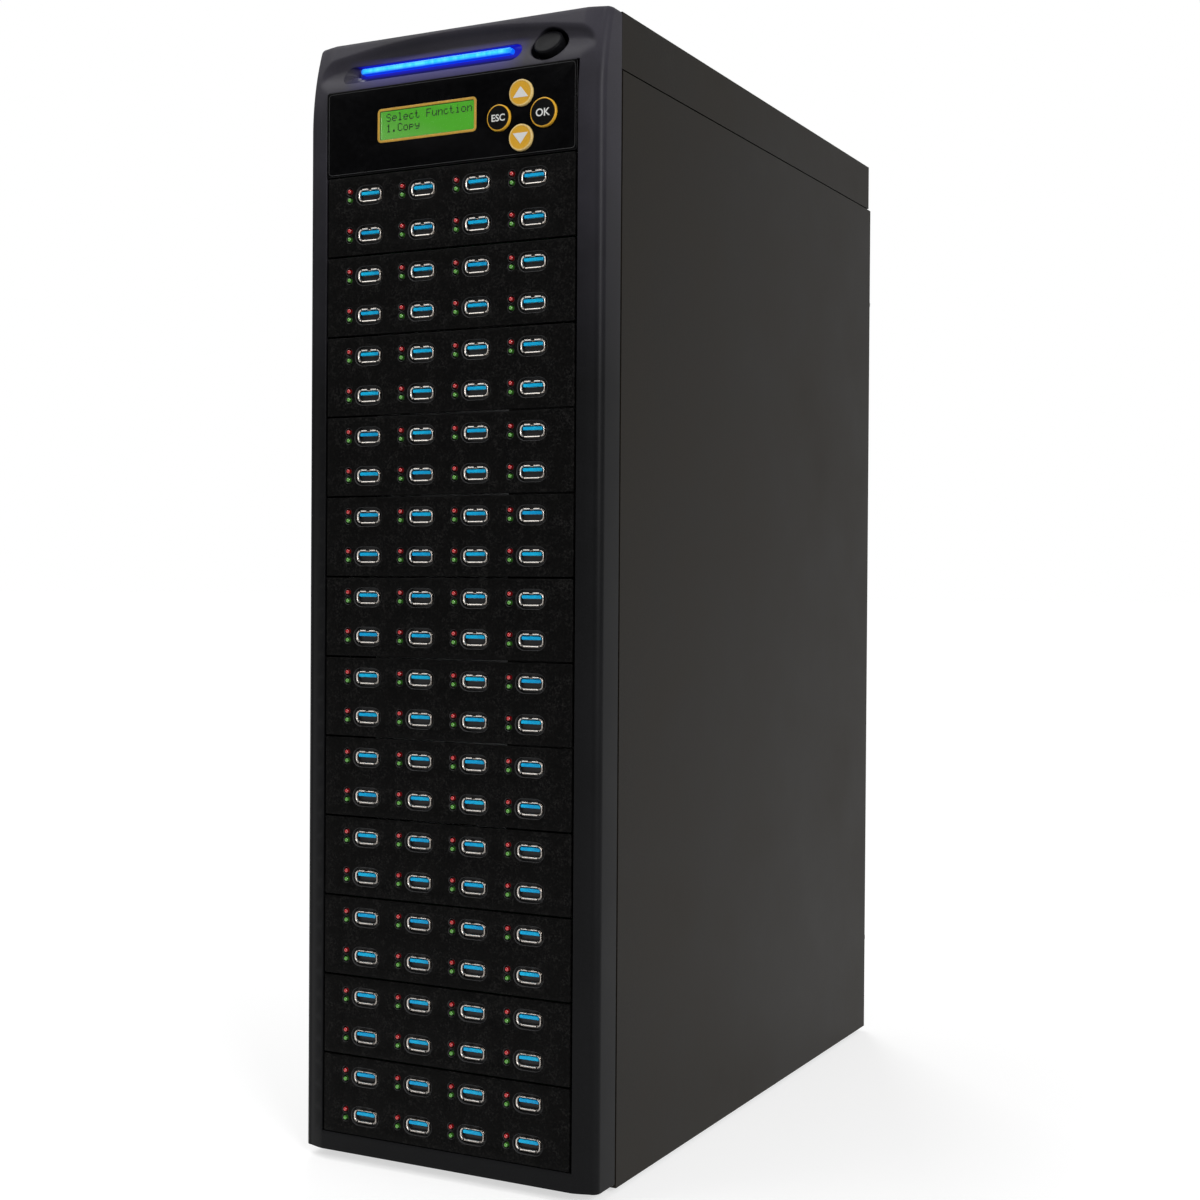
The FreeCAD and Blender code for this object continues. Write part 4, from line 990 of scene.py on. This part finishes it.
def control_panel():
    low, high = PANEL_LOW, PANEL_HIGH
    holes = [WINDOW]
    for node in ("up_button", "down_button", "esc_button", "ok_button"):
        key_low, key_high = box_mm(node)
        size = key_high.x - key_low.x + 0.4
        holes.append((*middle(node), size, size, size / 2))
    mesh = plate(outline(low, high, 1.2), holes, low.y, low.y + FACE_T, 0.2, 0.1)
    ears(mesh, low, high, PANEL_HALF)
    mesh.piece("panel_overlay", "panel_gloss", "control_faceplate")


def thin_frame(size, width, thick):
    """Flat frame on the panel, outside a rounded rectangle."""
    return plate(grown(size, width), [size], FACE_Y - thick, FACE_Y, min(0.12, thick / 2), 0.08)


def display_text():
    """Dots of the display's letters, just above its lit field."""
    mesh = Mesh()
    for line, text in enumerate(LINES):
        for column, letter in enumerate(text):
            for k, bits in enumerate(bytes.fromhex(GLYPHS[letter])):
                for j in range(5):
                    if bits >> (4 - j) & 1:
                        x = TEXT_LEFT + column * LETTER_STEP + j * DOT_W
                        z = TEXT_TOP - line * LINE_STEP - k * DOT_H
                        corners = ((x, z), (x + DOT_W, z), (x + DOT_W, z - DOT_H), (x, z - DOT_H))
                        mesh.face(mesh.add(at_y(corners, TEXT_Y)))
    mesh.piece("display_text", "lcd_ink", slot="lcd_green", smooth=None)


def key_word(words, size, centre, y, node):
    """Raised word on a key, as a mesh made from Blender's own font."""
    name = node + "_word"
    font = bpy.data.curves.new(name + "_font", "FONT")
    font.body = words
    font.size = size * MM
    font.align_x = font.align_y = "CENTER"
    font.offset = 0.017 * size * MM
    font.extrude = 0.02 * MM
    font.resolution_u = 4
    temp = linked(name + "_font", font)
    bpy.context.view_layer.update()
    mesh = bpy.data.meshes.new_from_object(temp)
    bpy.data.objects.remove(temp)
    xs, ys = [v.co.x for v in mesh.vertices], [v.co.y for v in mesh.vertices]
    mid_x, mid_y = (min(xs) + max(xs)) / 2, (min(ys) + max(ys)) / 2
    for v in mesh.vertices:
        v.co = Vector((v.co.x - mid_x + centre[0] * MM, y * MM - v.co.z, v.co.y - mid_y + centre[1] * MM))
    mesh.materials.clear()
    mesh.materials.append(MATS["legend_white"])
    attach(linked(name, mesh), node)


def key_cap(node, ring, rim, main):
    """Round key: a raised ring of one material round a face of the other."""
    low, high = box_mm(node)
    cx, cz = middle(node)
    radius = (high.x - low.x) / 2
    inner = radius - ring
    profile = [(radius, high.y - low.y), (radius, 0.35), (radius - 0.1, 0.14), (radius - 0.3, 0.02),
               (radius - 0.45, 0.0), (inner, 0.0), (inner - 0.12, 0.05), (inner - 0.3, 0.06), (0.4, 0.03)]
    mesh = Mesh()
    turned(mesh, profile[:6], 48, (cx, low.y, cz), end=False)
    turned(mesh, profile[5:], 48, (cx, low.y, cz), mat=1, start=False)
    mesh.piece(node + "_cap", rim + " " + main, node, node, main)
    return cx, cz, low.y


def keys():
    for node, way in (("up_button", 1), ("down_button", -1)):
        cx, cz, face = key_cap(node, 0.9, "gold_pale", "gold_key")
        base, tip = cz - way * ARROW_H * 0.42, cz + way * ARROW_H * 0.58
        corners = [(cx - ARROW_HALF, base), (cx + ARROW_HALF, base), (cx, tip)]
        mesh = Mesh()
        front, back = mesh.rings([at_y(corners, face - 0.02), at_y(corners, face + 0.06)])
        mesh.face(front)
        mesh.face(back[::-1])
        mesh.piece(node + "_arrow", "legend_white", body=node, smooth=None)
    for node, words, size in (("esc_button", "ESC", 4.9), ("ok_button", "OK", 5.4)):
        cx, cz, face = key_cap(node, 0.68, "gold_key", "black_key")
        key_word(words, size, (cx, cz), face - 0.005, node)


control_panel()
# thin pale line round the panel: a painted highlight
thin_frame(outline(PANEL_LOW, PANEL_HIGH, 1.6, -1.3), 0.3, 0.03).piece("panel_border", "worn_edge")
thin_frame(WINDOW, 1.3, 0.3).piece("display_rim", "gold_trim", "lcd_surround", slot="gold_key")
display_text()
pane = plate(outline(LCD_LOW, LCD_HIGH, 0.6), [], LCD_LOW.y, LCD_LOW.y + 0.6, 0.04)
pane.piece("display_pane", "clear_window", "lcd_window")
keys()


# -------- back of the case
SHEET = 1.0
GRILLE_SPOKE, GRILLE_BAR, SLOT_CORNER = 4.0, 3.5, 2.5
SUPPLY_RIM = 9.0  # margin of the supply's back that the rear sheet covers
FAN_SCREW = 52.5  # a fan's screws, from its middle
THUMB_INSET = 6.0  # thumbscrews, from the ends of their node
# radius and height of the screw heads' rings
SCREW_DOME = [(3.35, 0.0), (3.35, 0.35), (3.2, 0.75), (2.8, 1.2), (2.1, 1.6), (1.2, 1.82), (0.4, 1.9)]
# radius, knurl's height and distance from the end of the knobs' rings
KNOB = ((5.2, 0.0, 0.1), (5.55, 0.0, 0.4), (5.7, 0.28, 0.8), (5.7, 0.28, 6.4), (5.5, 0.0, 6.8),
        (5.0, 0.0, 7.3), (5.0, 0.0, 8.0))


def bend(a, corner, b):
    return [bent(a, corner, b, t) for t in (0.25, 0.5, 0.75)]


def slot_loop(cx, cz, low, high, mid, sectors, grow):
    """Outline of one curved slot between two radii, its corners rounded."""
    low, high, spoke = low - grow, high + grow, GRILLE_SPOKE - 2 * grow

    def polar(radius, turn):
        turn += mid
        return Vector((cx + radius * cos(turn), cz + radius * sin(turn)))

    def at(radius, side):
        return polar(radius, side * (pi / sectors - spoke / 2 / radius))

    def arc(radius):
        half = pi / sectors - (spoke / 2 + SLOT_CORNER) / radius
        return [polar(radius, half * (i / 5 - 1)) for i in range(11)]

    outer, inner = arc(high), arc(low)[::-1]
    near, far = low + SLOT_CORNER, high - SLOT_CORNER
    return (outer + bend(outer[-1], at(high, 1), at(far, 1)) + [at(far, 1), at(near, 1)]
            + bend(at(near, 1), at(low, 1), inner[0]) + inner
            + bend(inner[-1], at(low, -1), at(near, -1)) + [at(near, -1), at(far, -1)]
            + bend(at(far, -1), at(high, -1), outer[0]))


def grille(cx, cz, low, high, sectors):
    """Slots of a two-ring grille, each as a function of how far it is grown."""
    band = (high - low - GRILLE_BAR) / 2
    return [lambda grow, near=near, turn=turn: slot_loop(cx, cz, near, near + band, turn, sectors, grow)
            for near in (low, low + band + GRILLE_BAR) for turn in circle(sectors)]


def thumb_places(node):
    low, high = box_mm(node)
    return [((low.x + high.x) / 2, z) for z in (low.z + THUMB_INSET, high.z - THUMB_INSET)]


def rear_sheet():
    """Rear panel with folded edges, two grilles, the supply's window and the thumbscrews' holes."""
    low, high = box_mm("rear_panel")
    holes = [shape(outline(*box_mm("power_supply"), 2.0, -SUPPLY_RIM), 4)]
    for node in FANS:
        holes += grille(0, middle(node)[1], 20.0, 57.0, 8)
    for node in ("right_thumbscrews", "left_thumbscrews"):
        holes += [shape((x, z, 4.6, 4.6, 2.3), 4) for x, z in thumb_places(node)]
    mesh = pierced(shape(outline(low, high, 0.6), 4), holes, high.y, high.y - SHEET, 0.3, 0.3, count=2)
    inside = (low.y, high.y - SHEET)
    for x in ((low.x, low.x + SHEET), (high.x - SHEET, high.x)):
        mesh.slab(x, inside, (low.z, high.z))
    mesh.slab((low.x, high.x), inside, (high.z - SHEET, high.z))
    mesh.piece("rear_sheet", "case_paint", "rear_panel")


def supply_case():
    """Steel case of the supply: back with a grille, fan chamber and the well of its switch."""
    low, high = box_mm("power_supply")
    rocker_low, rocker_high = box_mm("power_rocker")
    fan_x, z = middle("psu_fan_rotor")[0], (low.z + high.z) / 2
    inlet_x, inlet_z = middle("power_inlet")
    box = shape(outline(low, high, 1.0), 4)
    well = shape((inlet_x, middle("power_rocker")[1], 20.8, rocker_high.z - rocker_low.z + 2.2, 0.8), 4)
    holes = grille(fan_x, z, 13.3, 34.5, 6) + [shape((inlet_x, inlet_z, 27.0, 20.0, 0.6), 4), well]
    mesh = pierced(box, holes, high.y, high.y - SHEET, 0.25, 0.25, count=2)
    mesh.cup([at_y(box(0.0), high.y - 1.02), at_y(box(0.0), low.y)])
    turned(mesh, [(38.0, -1.1), (38.0, -26.5), (2.6, -26.5), (2.6, -30.0)], 48, (fan_x, high.y, z),
           start=False, end=False)
    mesh.cup([at_y(well(0.0), high.y - 0.9), at_y(well(0.0), high.y - 9.0)], 1)
    mesh.piece("supply_case", "supply_steel rocker_plastic", "power_supply")


def thumbscrews():
    """Knurled knobs with a dished end and a cross slot, on their shanks."""
    for node, body in (("right_thumbscrews", "right_panel"), ("left_thumbscrews", "left_panel")):
        low, high = box_mm(node)
        mesh = Mesh()
        for x, z in thumb_places(node):
            rows = []
            for radius, knurl, ahead in KNOB:
                reach = [radius + knurl * (-1) ** i for i in range(72)]
                rows.append([(x + r * cos(a), high.y - ahead, z + r * sin(a))
                             for r, a in zip(reach, circle(72))])
            first, last = mesh.rings(rows)
            rim = rows[0]
            dish, sunk = ([(x + (px - x) * share, py - deep, z + (pz - z) * share) for px, py, pz in rim]
                          for share, deep in ((0.72, 0.0), (0.66, 0.6)))
            mesh.face(mesh.walls(first, (dish, sunk)))
            mesh.face(last)
            turned(mesh, [(2.0, high.y - 7.8), (2.0, low.y)], 16, (x, 0.0, z))
            # the cross slot is a dark slab: painted shade in the recess
            mesh.slab((x - 3.4, x + 3.4), (high.y - 0.68, high.y - 0.5), (z - 0.5, z + 0.5), 1)
            mesh.slab((x - 0.5, x + 0.5), (high.y - 0.68, high.y - 0.48), (z - 3.4, z + 3.4), 1)
        mesh.piece(node + "_knobs", "black_screw socket_dark", node, body, smooth=30)


def rear_screw_heads():
    """Domed screw heads with a cross recess, at the places of the CAD heads."""
    low, high = box_mm("power_supply")
    rim = SUPPLY_RIM / 2
    places = [(x, middle(node)[1] + dz) for node in FANS for x in (-FAN_SCREW, FAN_SCREW)
              for dz in (-FAN_SCREW, FAN_SCREW)]
    places += [(x, z) for x in (low.x + rim, high.x - rim) for z in (low.z + rim, high.z - rim)]
    y = box_mm("rear_panel")[1].y
    mesh = Mesh()
    for x, z in places:
        turned(mesh, SCREW_DOME, 24, (x, y, z))
        # the cross recess is a dark slab: painted shade
        for w, h in ((3.6, 0.75), (0.75, 3.6)):
            mesh.slab((x - w / 2, x + w / 2), (y + 1.3, y + 1.93), (z - h / 2, z + h / 2), 1)
    mesh.piece("rear_screw_heads", "plated_screw socket_dark", "rear_screws", smooth=40)


rear_sheet()
supply_case()
thumbscrews()
rear_screw_heads()


# -------- rounded edges of CAD nodes
for node, width in (("top_cover", 0.5), ("right_side_panel", 0.5), ("left_side_panel", 0.5), ("feet", 0.6),
                    ("power_inlet", 0.4), ("power_rocker", 0.6), *((fan, 0.6) for fan in FANS)):
    edge = NODES[node].modifiers.new("edge", "BEVEL")
    edge.width = width * MM
    edge.segments = 2
    edge.limit_method = "ANGLE"
    edge.angle_limit = radians(40)
    edge.harden_normals = False


# -------- stage, light and camera, in metres
FLOOR_HALF, FLOOR_LIFT = 30.0, 0.62  # FLOOR_LIFT: how white the floor shows beside the tower
CAMERA_PLACE, CAMERA_LENS = (0.4966, -0.9965, 0.3097), 54.24
CAMERA_TURN = [radians(v) for v in (27.25, -0.59, 0.37)]  # to the left, up, and rolled
LAMPS = (  # name, place, target, size, power
    ("key", (1.8, -1.5, 1.2), (0, -0.2, 0.32), (0.9, 0.7), 38),
    ("back", (-1.3, 2.1, 1.4), (0, 0.2, 0.32), (1.0, 1.0), 26),
    ("overhead", (-0.5, -0.5, 1.4), (0, -0.2, 0.58), (0.8, 0.8), 6),
)


def stage():
    """White floor that fades into the white background and keeps the tower's shadow near it."""
    corners = [(x * FLOOR_HALF, y * FLOOR_HALF, 0) for x, y in ((-1, -1), (1, -1), (1, 1), (-1, 1))]
    floor = bpy.data.meshes.new("floor")
    floor.from_pydata(corners, [], [(0, 1, 2, 3)])
    s = Shade("floor_white", (0.93, 0.93, 0.93), 0.9, specular=0.05)
    away = s.span(s.node("VectorMath", (0, s.coords), operation="LENGTH").outputs["Value"], 0.45, 1.1)
    s.color(s.blend(away, (0.48, 0.48, 0.48), (0.0, 0.0, 0.0)))
    s.glow((1.0, 1.0, 1.0), s.calc("MULTIPLY", s.seen(), s.span(away, 0.0, 1.0, FLOOR_LIFT, 1.0)))
    floor.materials.append(MATS["floor_white"])
    linked("floor", floor)


def world():
    """Studio, white to the eye and in mirrors behind the tower, that lights it from above and behind."""
    made = bpy.data.worlds.new("studio")
    bpy.context.scene.world = made
    made.use_nodes = True
    n = Nodes(made.node_tree)
    direction = n.node("SeparateXYZ", (0, n.node("TexCoord").outputs["Generated"])).outputs
    dome = n.calc("MULTIPLY", n.span(direction["Z"], 0.0, 0.55, 0.0, 0.6),
                  n.span(direction["Y"], -0.7, 0.5, 0.35, 1.0))
    light = n.calc("MAXIMUM", n.seen(n.span(direction["Y"], 0.6, 1.0)), n.calc("ADD", dome, 0.05))
    background = n.tree.nodes["Background"].inputs
    n.feed(background["Color"], (1.0, 1.0, 1.0))
    n.feed(background["Strength"], light)


def lamp(name, place, target, size, power):
    data = bpy.data.lights.new(name, "AREA")
    data.shape = "RECTANGLE"
    data.size, data.size_y = size
    data.energy = power
    obj = linked(name, data)
    obj.location = place
    obj.rotation_mode = "QUATERNION"
    obj.rotation_quaternion = (Vector(target) - Vector(place)).to_track_quat("-Z", "Y")


def camera():
    data = bpy.data.cameras.new("camera")
    data.sensor_width = 36.0
    data.lens = CAMERA_LENS
    data.clip_start, data.clip_end = 0.05, 100.0
    obj = linked("camera", data)
    yaw, pitch, roll = CAMERA_TURN
    obj.matrix_world = (Matrix.Translation(CAMERA_PLACE) @ Matrix.Rotation(yaw, 4, "Z")
                        @ Matrix.Rotation(pi / 2 + pitch, 4, "X") @ Matrix.Rotation(roll, 4, "Z"))
    bpy.context.scene.camera = obj


stage()
world()
for values in LAMPS:
    lamp(*values)
camera()
bpy.context.scene.view_settings.view_transform = "Standard"
